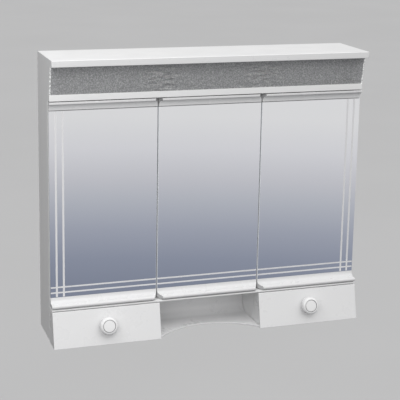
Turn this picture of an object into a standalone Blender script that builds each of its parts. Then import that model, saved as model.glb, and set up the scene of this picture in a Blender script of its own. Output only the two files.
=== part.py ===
"""Wall-hung bathroom mirror cabinet with a light crown, three mirror doors and two small drawers.

Metres, +Z up. The wall is the plane y = 0 and the front faces -Y, so a depth d from the wall is
y = -d. The origin is the middle of the back panel's rear face.
"""
import math

import bmesh
import bpy
from mathutils import Matrix, Vector

# ---------------------------------------------------------------- driving dimensions
WIDTH = 0.650                 # over the side panels, lid, doors and drawer fronts
HEIGHT = 0.570                # lid top to drawer front bottom
CARCASS_DEPTH = 0.096         # wall to the front edges of the side panels; _OUT sizes start there
LID_OUT = 0.044
LID_T = 0.013
SIDE_T = 0.012
BACK_T = 0.004
PARTITION_T = 0.010           # between the three compartments
PARTITION_SETBACK = 0.003     # keeps the partitions clear of the turning middle door
BOARD_T = 0.0125              # light divider, whose front edge is the rail above the doors
FLOOR_T = 0.008
BASE_T = 0.008                # panels under the drawers
BASE_LIFT = 0.002             # drawer fronts hang this far below the carcass
CROWN_H = 0.056               # light opening between lid and rail
RAIL_OUT = 0.019
LIP_OUT = 0.027               # thin edge of the floor board between doors and drawers
LIP_T = 0.003

DIFFUSER_T = 0.003
DIFFUSER_TOP_OUT = 0.029
DIFFUSER_LOW_OUT = 0.019

DOOR_GAP = 0.003              # between neighbouring doors
DOOR_PLAY = 0.0016            # above and below the doors and above the drawer fronts
FRONT_STANDOFF = 0.0012       # carcass edge to the back of a door or drawer front
MIRROR_OUT = 0.011            # front of the glass
MIRROR_T = 0.004
MIRROR_INSET = 0.0008         # glass edge behind the door edge
RIDGE_OUT = 0.018
RIDGE_H = 0.005
HEAD_H = 0.0170               # door top to the glass
NOSE_OUT = 0.029
NOSE_R = 0.004
FOOT_H = 0.0190               # door bottom to the glass
HEAD_MITRE = 0.0062           # how far the ridge is cut back at a door joint
FOOT_MITRE = 0.0080
BACK_CHAMFER = 0.004

PIN_R = 0.0015
PIN_OUT = 0.012
PIN_IN_DOOR = 0.0065
PIN_IN_BOARD = 0.0060
PIN_TO_OUTER_EDGE = 0.006     # side doors
PIN_TO_INNER_EDGE = 0.020     # middle door

SHELF_T = 0.005
SHELF_SETBACK = 0.0107        # carcass front to the shelf's edge
SHELF_LEVELS = 2
GROOVE = 0.003

DRAWER_FRONT_H = 0.071
DRAWER_TOP_OUT = 0.0285
DRAWER_LOW_OUT = 0.044
DRAWER_SKIN = 0.0035
BAY_WIDTH = 0.213             # open bay between the drawers
BAY_WALL_T = 0.010
BAY_BACK_DEPTH = 0.0345       # front of the bay's rear wall
BAY_SHEET_T = 0.0030
BAY_COVE_R = 0.018
BAY_RECESS = 0.049            # how far the floor's edge curves in at its middle
BOX_HEADROOM = 0.0123         # drawer box rim to the floor board above it
BOX_WALL = 0.004
BOX_REAR_GAP = 0.0097         # drawer box to the back panel
DRAWER_PLAY = 0.0008

KNOB_R = 0.0175
KNOB_RIM_R = 0.0045           # rounding of the knob's outer edge
KNOB_NECK_R = 0.0090
KNOB_NECK_H = 0.004
KNOB_HEAD_H = 0.0125
KNOB_CAP_R = 0.0120
KNOB_CAP_T = 0.0020
KNOB_RISE = 0.002             # knob centre above the middle of the drawer front
SCREW_R = 0.0020
SCREW_HEAD_R = 0.0040
SCREW_HEAD_T = 0.0022

BULB_R = 0.0150
BULB_LENGTH = 0.066
BULB_CAP_R = 0.0070
BULB_CAP_LENGTH = 0.022
BULB_STEM = 0.004             # cap shown between the holder and the glass
SOCKET_R = 0.0125
SOCKET_LENGTH = 0.030
SOCKET_BORE_R = 0.0080
SOCKET_BORE_LENGTH = 0.024
SOCKET_FOOT = (0.016, 0.018)  # along and across the lamp
LAMP_RISE = 0.029             # lamp axis above the divider
REFLECTOR_T = 0.0012
REFLECTOR_DEPTH = 0.064       # from its rear wall to its front edge
REFLECTOR_SETBACK = 0.008     # its front edge behind the diffuser

SWITCH_SIZE = (0.030, 0.022, 0.014)
ROCKER_SIZE = (0.0186, 0.0110, 0.0045)
ROCKER_TILT = math.radians(7.0)
ROCKER_PLAY = 0.0010
POCKET_DEEP = 0.006
SWITCH_INSET = 0.038          # switch centre to the side panel
SWITCH_SETBACK = 0.018        # switch centre behind the carcass front

HANGER_SIZE = (0.050, 0.040, 0.0020)
HANGER_EYE_R = 0.0055
HANGER_SLOT_R = 0.0028
HANGER_INSET = 0.040          # hanger centre from the side panel and from the divider
HANGER_WINDOW = (0.034, 0.028)
HANGER_EYE_DROP = 0.006       # eye centre below the hanger's centre
HANGER_SLOT_RISE = 0.008      # slot's upper end above it
GLAND_R = 0.008
GLAND_BORE_R = 0.0035
GLAND_FLANGE = (0.012, 0.003)  # radius and thickness
TERMINAL_SIZE = (0.032, 0.018, 0.016)
TERMINAL_X = 0.046
MAGNET_SIZE = (0.024, 0.014, 0.012)
STRIKE_SIZE = (0.020, 0.001, 0.008)
CATCH_INSET = 0.036           # catch centre from the door's free end

SEAT = 0.0003                 # gap between pieces that rest on each other
TURN = 0.0004                 # radial gap round a pin or a screw

# ---------------------------------------------------------------- levels and depths worked out from them
TOP = HEIGHT / 2
LID_LOW = TOP - LID_T
RAIL_TOP = LID_LOW - CROWN_H
RAIL_LOW = RAIL_TOP - BOARD_T
DRAWER_LOW = -HEIGHT / 2
DRAWER_TOP = DRAWER_LOW + DRAWER_FRONT_H
LIP_LOW = DRAWER_TOP + DOOR_PLAY
LIP_TOP = LIP_LOW + LIP_T
DOOR_LOW = LIP_TOP + DOOR_PLAY
DOOR_TOP = RAIL_LOW - DOOR_PLAY
FLOOR_TOP = LIP_TOP
FLOOR_LOW = FLOOR_TOP - FLOOR_T
CARCASS_LOW = DRAWER_LOW + BASE_LIFT
LID_DEPTH = CARCASS_DEPTH + LID_OUT
RAIL_DEPTH = CARCASS_DEPTH + RAIL_OUT
LIP_DEPTH = CARCASS_DEPTH + LIP_OUT
DIFFUSER_TOP_DEPTH = CARCASS_DEPTH + DIFFUSER_TOP_OUT
DIFFUSER_LOW_DEPTH = CARCASS_DEPTH + DIFFUSER_LOW_OUT
MIRROR_DEPTH = CARCASS_DEPTH + MIRROR_OUT
RIDGE_DEPTH = CARCASS_DEPTH + RIDGE_OUT
NOSE_DEPTH = CARCASS_DEPTH + NOSE_OUT
PIN_DEPTH = CARCASS_DEPTH + PIN_OUT
DRAWER_TOP_DEPTH = CARCASS_DEPTH + DRAWER_TOP_OUT
DRAWER_LOW_DEPTH = CARCASS_DEPTH + DRAWER_LOW_OUT
REFLECTOR_FRONT_DEPTH = DIFFUSER_LOW_DEPTH - DIFFUSER_T - REFLECTOR_SETBACK
REFLECTOR_BACK_DEPTH = REFLECTOR_FRONT_DEPTH - REFLECTOR_DEPTH
INNER_X = WIDTH / 2 - SIDE_T
LAMP_X = WIDTH / 6
INNER_BACK = BACK_T + SEAT
FRONT_BACK = CARCASS_DEPTH + FRONT_STANDOFF
BAY_X = BAY_WIDTH / 2
BOX_BACK_DEPTH = INNER_BACK + BOX_REAR_GAP
SWITCH_X = INNER_X - SWITCH_INSET
SWITCH_DEPTH = CARCASS_DEPTH - SWITCH_SETBACK
DRAWER_TILT = math.atan2(DRAWER_LOW_DEPTH - DRAWER_TOP_DEPTH, DRAWER_FRONT_H)

ROUND = 48                    # sides of a large turned piece
SMALL_ROUND = 24

# name: base colour, metallic, roughness
FINISHES = {
    "white_lacquer": ((0.80, 0.80, 0.81), 0.0, 0.35),
    "white_plastic": ((0.78, 0.78, 0.79), 0.0, 0.30),
    "mirror_glass": ((0.60, 0.62, 0.68), 1.0, 0.04),
    "shelf_glass": ((0.72, 0.80, 0.78), 0.0, 0.05),
    "textured_acrylic": ((0.45, 0.45, 0.46), 0.0, 0.20),
    "zinc_steel": ((0.62, 0.63, 0.65), 1.0, 0.35),
    "opal_glass": ((0.86, 0.86, 0.84), 0.0, 0.15),
    "dark_rubber": ((0.05, 0.05, 0.05), 0.0, 0.70),
    "magnet_ferrite": ((0.10, 0.10, 0.11), 0.0, 0.55),
}


# ---------------------------------------------------------------- modelling helpers
def clear_scene():
    for obj in list(bpy.data.objects):
        bpy.data.objects.remove(obj, do_unlink=True)


def finish_material(finish):
    mat = bpy.data.materials.get(finish) or bpy.data.materials.new(finish)
    colour, metallic, roughness = FINISHES[finish]
    mat.use_nodes = True
    shader = mat.node_tree.nodes["Principled BSDF"]
    shader.inputs["Base Color"].default_value = (*colour, 1.0)
    shader.inputs["Metallic"].default_value = metallic
    shader.inputs["Roughness"].default_value = roughness
    mat.diffuse_color = (*colour, 1.0)
    return mat


def add_object(name, bm, finish=None):
    bmesh.ops.recalc_face_normals(bm, faces=bm.faces)
    mesh = bpy.data.meshes.new(name)
    bm.to_mesh(mesh)
    bm.free()
    obj = bpy.data.objects.new(name, mesh)
    bpy.context.scene.collection.objects.link(obj)
    if finish:
        mesh.materials.append(finish_material(finish))
    return obj


def box(name, x_range, depth_range, z_range, finish=None):
    """A board between two x, two depths from the wall and two heights."""
    bm = bmesh.new()
    bmesh.ops.create_cube(bm, size=1.0)
    spans = (x_range, (-depth_range[1], -depth_range[0]), z_range)
    for vert in bm.verts:
        vert.co = Vector([(lo + hi) / 2 + c * (hi - lo) for c, (lo, hi) in zip(vert.co, spans)])
    return add_object(name, bm, finish)


def section_along_x(name, outline, x_range, finish=None):
    """An outline of (depth, z) points, run along X."""
    bm = bmesh.new()
    face = bm.faces.new([bm.verts.new((x_range[0], -d, z)) for d, z in outline])
    moved = bmesh.ops.extrude_face_region(bm, geom=[face])["geom"]
    shift = Vector((x_range[1] - x_range[0], 0, 0))
    bmesh.ops.translate(bm, vec=shift, verts=[v for v in moved if isinstance(v, bmesh.types.BMVert)])
    return add_object(name, bm, finish)


def plan_along_z(name, outline, z_range, finish=None):
    """An outline of (x, depth) points, run along Z."""
    bm = bmesh.new()
    face = bm.faces.new([bm.verts.new((x, -d, z_range[0])) for x, d in outline])
    moved = bmesh.ops.extrude_face_region(bm, geom=[face])["geom"]
    shift = Vector((0, 0, z_range[1] - z_range[0]))
    bmesh.ops.translate(bm, vec=shift, verts=[v for v in moved if isinstance(v, bmesh.types.BMVert)])
    return add_object(name, bm, finish)


def turned(name, profile, place, finish=None, sides=ROUND):
    """A profile of (radius, height) points turned about its own Z; radius 0 closes an end."""
    bm = bmesh.new()
    rings = []
    for radius, height in profile:
        if radius == 0.0:
            rings.append([bm.verts.new((0, 0, height))])
            continue
        angles = [2 * math.pi * i / sides for i in range(sides)]
        rings.append([bm.verts.new((radius * math.cos(a), radius * math.sin(a), height))
                      for a in angles])
    closed = profile[0][0] > 0.0
    pairs = list(zip(rings, rings[1:])) + ([(rings[-1], rings[0])] if closed else [])
    for low, high in pairs:
        for i in range(sides):
            j = (i + 1) % sides
            corners = [low[i % len(low)], low[j % len(low)], high[j % len(high)], high[i % len(high)]]
            bm.faces.new(list(dict.fromkeys(corners)))
    bmesh.ops.transform(bm, matrix=place, verts=bm.verts)
    obj = add_object(name, bm, finish)
    obj.data.shade_smooth()
    obj.data.set_sharp_from_angle(angle=math.radians(35))
    return obj


def rod(name, radius, start, length, direction, finish=None, sides=SMALL_ROUND):
    place = Matrix.Translation(start) @ Vector(direction).to_track_quat("Z", "Y").to_matrix().to_4x4()
    return turned(name, [(0.0, 0.0), (radius, 0.0), (radius, length), (0.0, length)], place, finish, sides)


def bevel(obj, width, segments=2):
    mod = obj.modifiers.new("soft_edges", "BEVEL")
    mod.width = width
    mod.segments = segments
    mod.limit_method = "ANGLE"
    mod.angle_limit = math.radians(40)
    return obj


def boolean(obj, other, operation="DIFFERENCE"):
    mod = obj.modifiers.new(operation.lower(), "BOOLEAN")
    mod.operation = operation
    mod.solver = "EXACT"
    mod.object = other
    other.hide_render = True
    other.display_type = "WIRE"
    return obj


def hang_on(pivot_name, location, pieces):
    """An empty on a joint's axis that carries the moving pieces."""
    pivot = bpy.data.objects.new(pivot_name, None)
    pivot.location = location
    bpy.context.scene.collection.objects.link(pivot)
    for piece in pieces:
        piece.parent = pivot
        piece.matrix_parent_inverse = Matrix.Translation(-Vector(location))


def arc(centre, radii, start_deg, end_deg, steps):
    """Points on an elliptical arc, in degrees, both ends included."""
    points = []
    for i in range(steps + 1):
        a = math.radians(start_deg + (end_deg - start_deg) * i / steps)
        points.append((centre[0] + radii[0] * math.cos(a), centre[1] + radii[1] * math.sin(a)))
    return points


# ---------------------------------------------------------------- carcass
def shelf_heights():
    clear = RAIL_LOW - FLOOR_TOP
    return [FLOOR_TOP + clear * (i + 1) / (SHELF_LEVELS + 1) for i in range(SHELF_LEVELS)]


def cut_shelf_grooves(panel, face_x, inward):
    """Cuts the shelf grooves into the panel face at face_x; inward is the side of the shelf."""
    for level, z in enumerate(shelf_heights()):
        into = sorted((face_x - inward * GROOVE, face_x + inward * 0.010))
        cutter = box(f"groove_{panel.name}_{level}_{'r' if inward > 0 else 'l'}", into,
                     (INNER_BACK + 0.0005, CARCASS_DEPTH + 0.010),
                     (z - SHELF_T / 2 - SEAT, z + SHELF_T / 2 + SEAT))
        boolean(panel, cutter)


def side_panel(side):
    """Side panel whose crown part reaches forward to carry the light diffuser."""
    name = "left_side_panel" if side < 0 else "right_side_panel"
    reach = DIFFUSER_T + SEAT
    outline = [(0, CARCASS_LOW), (CARCASS_DEPTH, CARCASS_LOW), (CARCASS_DEPTH, RAIL_TOP + SEAT),
               (DIFFUSER_LOW_DEPTH - reach, RAIL_TOP + SEAT), (DIFFUSER_TOP_DEPTH - reach, LID_LOW - SEAT),
               (0, LID_LOW - SEAT)]
    outer = side * WIDTH / 2
    panel = section_along_x(name, outline, sorted((outer, side * INNER_X)), "white_lacquer")
    cut_shelf_grooves(panel, side * INNER_X, -side)
    return panel


def back_panel():
    """Rear sheet, flush with the side panels, open behind the hangers and round the cable gland."""
    x = INNER_X - SEAT
    panel = box("back_panel", (-x, x), (0, BACK_T), (CARCASS_LOW, LID_LOW - SEAT), "white_lacquer")
    for side in (-1, 1):
        cx, cz = hanger_centre(side)
        half_w, half_h = HANGER_WINDOW[0] / 2, HANGER_WINDOW[1] / 2
        window = box(f"hanger_window_{side}", (cx - half_w, cx + half_w), (-0.01, BACK_T + 0.01),
                     (cz - half_h, cz + half_h))
        boolean(panel, window)
    hole = rod("gland_hole", GLAND_R + TURN, (0, 0.01, gland_height()), BACK_T + 0.02, (0, -1, 0))
    boolean(panel, hole)
    return panel


def lid():
    x = WIDTH / 2
    return bevel(box("lid", (-x, x), (0, LID_DEPTH), (LID_LOW, TOP), "white_lacquer"), 0.0012, 3)


def light_divider():
    """Board under the lamps; its full-width front edge is the rail above the doors."""
    x, w, step = INNER_X - SEAT, WIDTH / 2, CARCASS_DEPTH + SEAT
    outline = [(-x, INNER_BACK), (x, INNER_BACK), (x, step), (w, step), (w, RAIL_DEPTH),
               (-w, RAIL_DEPTH), (-w, step), (-x, step)]
    board = plan_along_z("light_divider", outline, (RAIL_LOW, RAIL_TOP), "white_lacquer")
    for name, x in pin_places():
        hole = rod(f"pin_socket_{name}", PIN_R + TURN, (x, -PIN_DEPTH, RAIL_LOW - 0.002),
                   PIN_IN_BOARD + 0.002 + TURN, (0, 0, 1))
        boolean(board, hole)
    return board


def cabinet_floor():
    """Board under the doors, with a thin full-width lip between the doors and the drawers."""
    x, w, step = INNER_X - SEAT, WIDTH / 2, CARCASS_DEPTH + SEAT
    board = box("cabinet_floor", (-x, x), (INNER_BACK, CARCASS_DEPTH), (FLOOR_LOW, FLOOR_TOP),
                "white_lacquer")
    tail = CARCASS_DEPTH - 0.010
    outline = [(0.001 - x, tail), (x - 0.001, tail), (x - 0.001, step), (w, step), (w, LIP_DEPTH),
               (-w, LIP_DEPTH), (-w, step), (0.001 - x, step)]
    boolean(board, plan_along_z("floor_lip", outline, (LIP_LOW, LIP_TOP)), "UNION")
    for name, x in pin_places():
        hole = rod(f"pin_foot_{name}", PIN_R + TURN, (x, -PIN_DEPTH, LIP_LOW - 0.004), 0.012, (0, 0, 1))
        boolean(board, hole)
    return board


def partition(side):
    """Upright between two compartments, grooved on both faces for the glass shelves."""
    name = "left_partition" if side < 0 else "right_partition"
    middle = side * WIDTH / 6
    faces = (middle - PARTITION_T / 2, middle + PARTITION_T / 2)
    panel = box(name, faces, (INNER_BACK, CARCASS_DEPTH - PARTITION_SETBACK),
                (FLOOR_TOP + SEAT, RAIL_LOW - SEAT), "white_lacquer")
    cut_shelf_grooves(panel, faces[0], -1)
    cut_shelf_grooves(panel, faces[1], 1)
    return panel


def glass_shelves():
    """Two glass shelves in each of the three compartments, slid into the grooves."""
    faces = [-INNER_X, -WIDTH / 6 - PARTITION_T / 2, -WIDTH / 6 + PARTITION_T / 2,
             WIDTH / 6 - PARTITION_T / 2, WIDTH / 6 + PARTITION_T / 2, INNER_X]
    reach = GROOVE - 2 * SEAT
    for bay, label in enumerate(("left", "middle", "right")):
        x_range = (faces[2 * bay] - reach, faces[2 * bay + 1] + reach)
        for level, z in enumerate(shelf_heights()):
            name = f"{label}_shelf_{'lower' if level == 0 else 'upper' if level == 1 else level + 1}"
            box(name, x_range, (INNER_BACK + 0.001, CARCASS_DEPTH - SHELF_SETBACK),
                (z - SHELF_T / 2, z + SHELF_T / 2), "shelf_glass")


# ---------------------------------------------------------------- open bay and drawer housing
def bay_wall(side):
    name = "left_bay_wall" if side < 0 else "right_bay_wall"
    return box(name, sorted((side * BAY_X, side * (BAY_X + BAY_WALL_T))), (INNER_BACK, CARCASS_DEPTH),
               (CARCASS_LOW, FLOOR_LOW - SEAT), "white_lacquer")


def drawer_base(side):
    name = "left_drawer_base" if side < 0 else "right_drawer_base"
    x_range = sorted((side * (BAY_X + BAY_WALL_T + SEAT), side * (INNER_X - SEAT)))
    return box(name, x_range, (INNER_BACK, CARCASS_DEPTH), (CARCASS_LOW, CARCASS_LOW + BASE_T),
               "white_lacquer")


def bay_tray():
    """Bent sheet: the bay's rear wall, a cove, and a floor whose front edge is a concave arc."""
    rear, front = BAY_BACK_DEPTH - BAY_SHEET_T, DRAWER_LOW_DEPTH
    low, high = CARCASS_LOW, FLOOR_LOW - SEAT
    inner = arc((BAY_BACK_DEPTH + BAY_COVE_R, low + BAY_SHEET_T + BAY_COVE_R),
                (BAY_COVE_R, BAY_COVE_R), 180, 270, 8)
    outer_r = BAY_COVE_R + BAY_SHEET_T
    outer = arc((rear + outer_r, low + outer_r), (outer_r, outer_r), 270, 180, 8)
    outline = ([(rear, high), (BAY_BACK_DEPTH, high)] + inner + [(front, low + BAY_SHEET_T), (front, low)]
               + outer)
    x = BAY_X - 2 * SEAT
    tray = section_along_x("bay_tray", outline, (-x, x), "white_lacquer")
    radius = (BAY_X ** 2 + BAY_RECESS ** 2) / (2 * BAY_RECESS)
    centre = (0, -(front - BAY_RECESS + radius), low - 0.01)
    bite = rod("bay_bite", radius, centre, BAY_SHEET_T + 0.02, (0, 0, 1), sides=160)
    boolean(tray, bite)
    return tray


# ---------------------------------------------------------------- light crown
def light_diffuser():
    """Leaning sheet of textured acrylic across the whole front of the crown."""
    top, low = LID_LOW - SEAT, RAIL_TOP + SEAT
    outline = [(DIFFUSER_LOW_DEPTH - DIFFUSER_T, low), (DIFFUSER_LOW_DEPTH, low),
               (DIFFUSER_TOP_DEPTH, top), (DIFFUSER_TOP_DEPTH - DIFFUSER_T, top)]
    return section_along_x("light_diffuser", outline, (-WIDTH / 2, WIDTH / 2), "textured_acrylic")


def reflector():
    """Bent sheet behind and under the lamps."""
    low = RAIL_TOP + SEAT
    high = LID_LOW - 0.004
    bend = 0.012
    inner = arc((REFLECTOR_BACK_DEPTH + bend, low + REFLECTOR_T + bend), (bend, bend), 270, 180, 6)
    outer_r = bend + REFLECTOR_T
    back = REFLECTOR_BACK_DEPTH - REFLECTOR_T
    outer = arc((back + outer_r, low + outer_r), (outer_r, outer_r), 180, 270, 6)
    outline = ([(REFLECTOR_FRONT_DEPTH, low), (REFLECTOR_FRONT_DEPTH, low + REFLECTOR_T)] + inner
               + [(REFLECTOR_BACK_DEPTH, high), (back, high)] + outer)
    x = INNER_X - 0.006
    return section_along_x("reflector", outline, (-x, x), "white_plastic")


def lamp_holder(side):
    """A lamp holder on its foot, with the bore that the lamp's cap goes into."""
    label = "left" if side < 0 else "right"
    x, depth, z = lamp_mouth(side)
    holder = rod(f"{label}_lamp_holder", SOCKET_R, (x - side * SOCKET_LENGTH, -depth, z), SOCKET_LENGTH,
                 (side, 0, 0), "white_plastic", ROUND)
    along, across = SOCKET_FOOT
    foot_mid = x - side * (SOCKET_LENGTH - along / 2 - 0.004)
    foot = box(f"{label}_lamp_foot", (foot_mid - along / 2, foot_mid + along / 2),
               (depth - across / 2, depth + across / 2), (RAIL_TOP + REFLECTOR_T + 2 * SEAT, z))
    boolean(holder, foot, "UNION")
    bore = rod(f"{label}_lamp_bore", SOCKET_BORE_R, (x - side * SOCKET_BORE_LENGTH, -depth, z),
               SOCKET_BORE_LENGTH + 0.01, (side, 0, 0))
    return boolean(holder, bore)


def lamp_mouth(side):
    """X, depth and height of the mouth of a lamp holder."""
    depth = (REFLECTOR_BACK_DEPTH + REFLECTOR_FRONT_DEPTH) / 2
    return side * (LAMP_X - BULB_LENGTH / 2), depth, RAIL_TOP + LAMP_RISE


def lamp_bulb(side):
    """Candle bulb: a cap in the holder and a swelling glass with a blunt tip."""
    label = "left" if side < 0 else "right"
    x, depth, z = lamp_mouth(side)
    profile = [(0.0, -BULB_CAP_LENGTH), (BULB_CAP_R, -BULB_CAP_LENGTH), (BULB_CAP_R, BULB_STEM)]
    steps = 13
    for i in range(1, steps):
        t = i / steps
        swell = math.sin(math.pi * t ** 0.8) ** 0.8
        neck = BULB_CAP_R * (1.0 - t)
        profile.append((neck + (BULB_R - neck) * swell, BULB_STEM + BULB_LENGTH * t))
    profile.append((0.0, BULB_STEM + BULB_LENGTH))
    place = Matrix.Translation((x, -depth, z)) @ Matrix.Rotation(side * math.pi / 2, 4, "Y")
    return turned(f"{label}_lamp_bulb", profile, place, "opal_glass", SMALL_ROUND)


def terminal_block():
    length, deep, height = TERMINAL_SIZE
    block = box("terminal_block", (TERMINAL_X - length / 2, TERMINAL_X + length / 2),
                (INNER_BACK, INNER_BACK + deep), (gland_height() - height / 2, gland_height() + height / 2),
                "white_plastic")
    return bevel(block, 0.001)


def gland_height():
    return (RAIL_TOP + LID_LOW) / 2


def cable_gland():
    """Rubber grommet for the supply cable, flush behind and flanged inside."""
    flange_r, flange_t = GLAND_FLANGE
    reach = INNER_BACK
    profile = [(GLAND_BORE_R, SEAT), (GLAND_R, SEAT), (GLAND_R, reach), (flange_r, reach),
               (flange_r, reach + flange_t), (GLAND_BORE_R, reach + flange_t)]
    place = Matrix.Translation((0, 0, gland_height())) @ Matrix.Rotation(math.pi / 2, 4, "X")
    return turned("cable_gland", profile, place, "dark_rubber", SMALL_ROUND)


def light_switch():
    """Rocker switch on the underside of the divider, reached with the right door open."""
    length, width, height = SWITCH_SIZE
    top = RAIL_LOW - SEAT
    low = top - height
    x_range = (SWITCH_X - length / 2, SWITCH_X + length / 2)
    depth_range = (SWITCH_DEPTH - width / 2, SWITCH_DEPTH + width / 2)
    housing = box("switch_housing", x_range, depth_range, (low, top), "white_plastic")
    wide, deep = ROCKER_SIZE[0] / 2 + ROCKER_PLAY, ROCKER_SIZE[1] / 2 + ROCKER_PLAY
    pocket = box("switch_pocket", (SWITCH_X - wide, SWITCH_X + wide),
                 (SWITCH_DEPTH - deep, SWITCH_DEPTH + deep), (low - 0.010, low + POCKET_DEEP))
    boolean(housing, pocket)
    bm = bmesh.new()
    bmesh.ops.create_cube(bm, size=1.0)
    bmesh.ops.scale(bm, vec=ROCKER_SIZE, verts=bm.verts)
    rocker = bevel(add_object("switch_rocker", bm, "white_plastic"), 0.0006)
    rocker.location = (SWITCH_X, -SWITCH_DEPTH, low)
    rocker.rotation_euler = (0, -ROCKER_TILT, 0)


# ---------------------------------------------------------------- doors
def door_span(label):
    """The two x ends of a door."""
    joint = WIDTH / 6
    return {"left": (-WIDTH / 2, -joint - DOOR_GAP / 2),
            "middle": (DOOR_GAP / 2 - joint, joint - DOOR_GAP / 2),
            "right": (joint + DOOR_GAP / 2, WIDTH / 2)}[label]


def pin_x(label):
    low, high = door_span(label)
    return {"left": low + PIN_TO_OUTER_EDGE, "middle": low + PIN_TO_INNER_EDGE,
            "right": high - PIN_TO_OUTER_EDGE}[label]


def pin_places():
    return [(label, pin_x(label)) for label in ("left", "middle", "right")]


def door_section():
    """Door outline of (depth, z) points in four runs: back, head moulding, seat, foot moulding."""
    face = MIRROR_DEPTH + 0.0004
    seat = MIRROR_DEPTH - MIRROR_T - SEAT
    head_z, foot_z = DOOR_TOP - HEAD_H + SEAT, DOOR_LOW + FOOT_H - SEAT
    round_r = 0.0012
    cove_depth = RIDGE_DEPTH - 0.0012 - face
    head = [(face, DOOR_TOP)]
    head += arc((RIDGE_DEPTH - round_r, DOOR_TOP - round_r), (round_r, round_r), 90, 0, 3)
    head += [(RIDGE_DEPTH, DOOR_TOP - RIDGE_H + 0.0008)]
    cove_top = DOOR_TOP - RIDGE_H
    head += arc((face + cove_depth, head_z), (cove_depth, cove_top - head_z), 90, 180, 8)
    nose = (NOSE_DEPTH - NOSE_R, DOOR_LOW + NOSE_R)
    flare = (nose[0] - face, foot_z - (nose[1] + NOSE_R))
    foot = arc((nose[0], foot_z), (flare[0], -flare[1]), 180, 90, 8)
    foot += arc(nose, (NOSE_R, NOSE_R), 90, -90, 8)[1:]
    foot += [(face, DOOR_LOW)]
    return face, seat, head, foot


def door_frame(label):
    """Moulded door body: its head and foot mouldings are mitred where two doors meet."""
    face, seat, head, foot = door_section()
    chamfer_depth = FRONT_BACK + BACK_CHAMFER
    back = [(FRONT_BACK, DOOR_TOP), (chamfer_depth, DOOR_TOP)]
    seat_run = [(seat, head[-1][1]), (seat, foot[0][1])]
    tail = [(chamfer_depth, DOOR_LOW), (FRONT_BACK, DOOR_LOW)]
    outline = back + head + seat_run + foot + tail
    a, b = len(back), len(back) + len(head) - 1
    c, d = b + 3, b + 2 + len(foot)
    last = len(outline) - 1
    low, high = door_span(label)
    meets = {"left": (False, True), "middle": (True, True), "right": (True, False)}[label]

    def end_x(end, index):
        depth = outline[index][0]
        inward = 1 if end == 0 else -1
        x = (low, high)[end]
        if index in (0, last):
            return x + inward * BACK_CHAMFER
        if depth > face and meets[end]:
            reach, mitre = ((RIDGE_DEPTH, HEAD_MITRE) if index <= b else (NOSE_DEPTH, FOOT_MITRE))
            return x + inward * mitre * (depth - face) / (reach - face)
        return x

    bm = bmesh.new()
    ends = [[bm.verts.new((end_x(end, i), -p[0], p[1])) for i, p in enumerate(outline)] for end in (0, 1)]
    for ring in ends:
        bm.faces.new(ring[a:b + 1])
        bm.faces.new(ring[c:d + 1])
        bm.faces.new([ring[1], ring[a], ring[b], ring[b + 1], ring[b + 2], ring[c], ring[d], ring[last - 1]])
        bm.faces.new([ring[0], ring[1], ring[last - 1], ring[last]])
    for i in range(len(outline)):
        j = (i + 1) % len(outline)
        bm.faces.new([ends[0][i], ends[0][j], ends[1][j], ends[1][i]])
    frame = add_object(f"{label}_door_frame", bm, "white_plastic")
    frame.data.shade_smooth()
    frame.data.set_sharp_from_angle(angle=math.radians(30))
    x = pin_x(label)
    deep = PIN_IN_DOOR + TURN
    for end, z, up in (("head", DOOR_TOP - deep, 1), ("foot", DOOR_LOW + deep, -1)):
        boolean(frame, rod(f"{label}_{end}_bore", PIN_R + TURN, (x, -PIN_DEPTH, z), 2 * deep, (0, 0, up)))
    return frame


def door_mirror(label):
    low, high = door_span(label)
    return box(f"{label}_mirror", (low + MIRROR_INSET, high - MIRROR_INSET),
               (MIRROR_DEPTH - MIRROR_T, MIRROR_DEPTH), (DOOR_LOW + FOOT_H, DOOR_TOP - HEAD_H),
               "mirror_glass")


def hinge_pins(label):
    """Steel pins fixed in the rail and in the floor's lip, on the door's turning axis."""
    x = pin_x(label)
    rod(f"{label}_top_hinge_pin", PIN_R, (x, -PIN_DEPTH, DOOR_TOP - PIN_IN_DOOR),
        PIN_IN_DOOR + DOOR_PLAY + PIN_IN_BOARD, (0, 0, 1), "zinc_steel")
    rod(f"{label}_bottom_hinge_pin", PIN_R, (x, -PIN_DEPTH, LIP_LOW), LIP_T + DOOR_PLAY + PIN_IN_DOOR,
        (0, 0, 1), "zinc_steel")


def magnetic_catch(label):
    """Magnet under the divider and the steel strike plate on the door's back, near its free end."""
    low, high = door_span(label)
    x = low + CATCH_INSET if label == "right" else high - CATCH_INSET
    plate_front = FRONT_BACK - SEAT
    plate_back = plate_front - STRIKE_SIZE[1]
    magnet_front = plate_back - SEAT
    top = RAIL_LOW - SEAT
    magnet = box(f"{label}_catch_magnet", (x - MAGNET_SIZE[0] / 2, x + MAGNET_SIZE[0] / 2),
                 (magnet_front - MAGNET_SIZE[1], magnet_front), (top - MAGNET_SIZE[2], top),
                 "magnet_ferrite")
    bevel(magnet, 0.0008)
    middle = top - MAGNET_SIZE[2] / 2 - 0.001
    return box(f"{label}_strike_plate", (x - STRIKE_SIZE[0] / 2, x + STRIKE_SIZE[0] / 2),
               (plate_back, plate_front), (middle - STRIKE_SIZE[2] / 2, middle + STRIKE_SIZE[2] / 2),
               "zinc_steel")


def door(label):
    pieces = [door_frame(label), door_mirror(label), magnetic_catch(label)]
    hinge_pins(label)
    hang_on(f"{label}_door_pivot", (pin_x(label), -PIN_DEPTH, (DOOR_TOP + DOOR_LOW) / 2), pieces)


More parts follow.
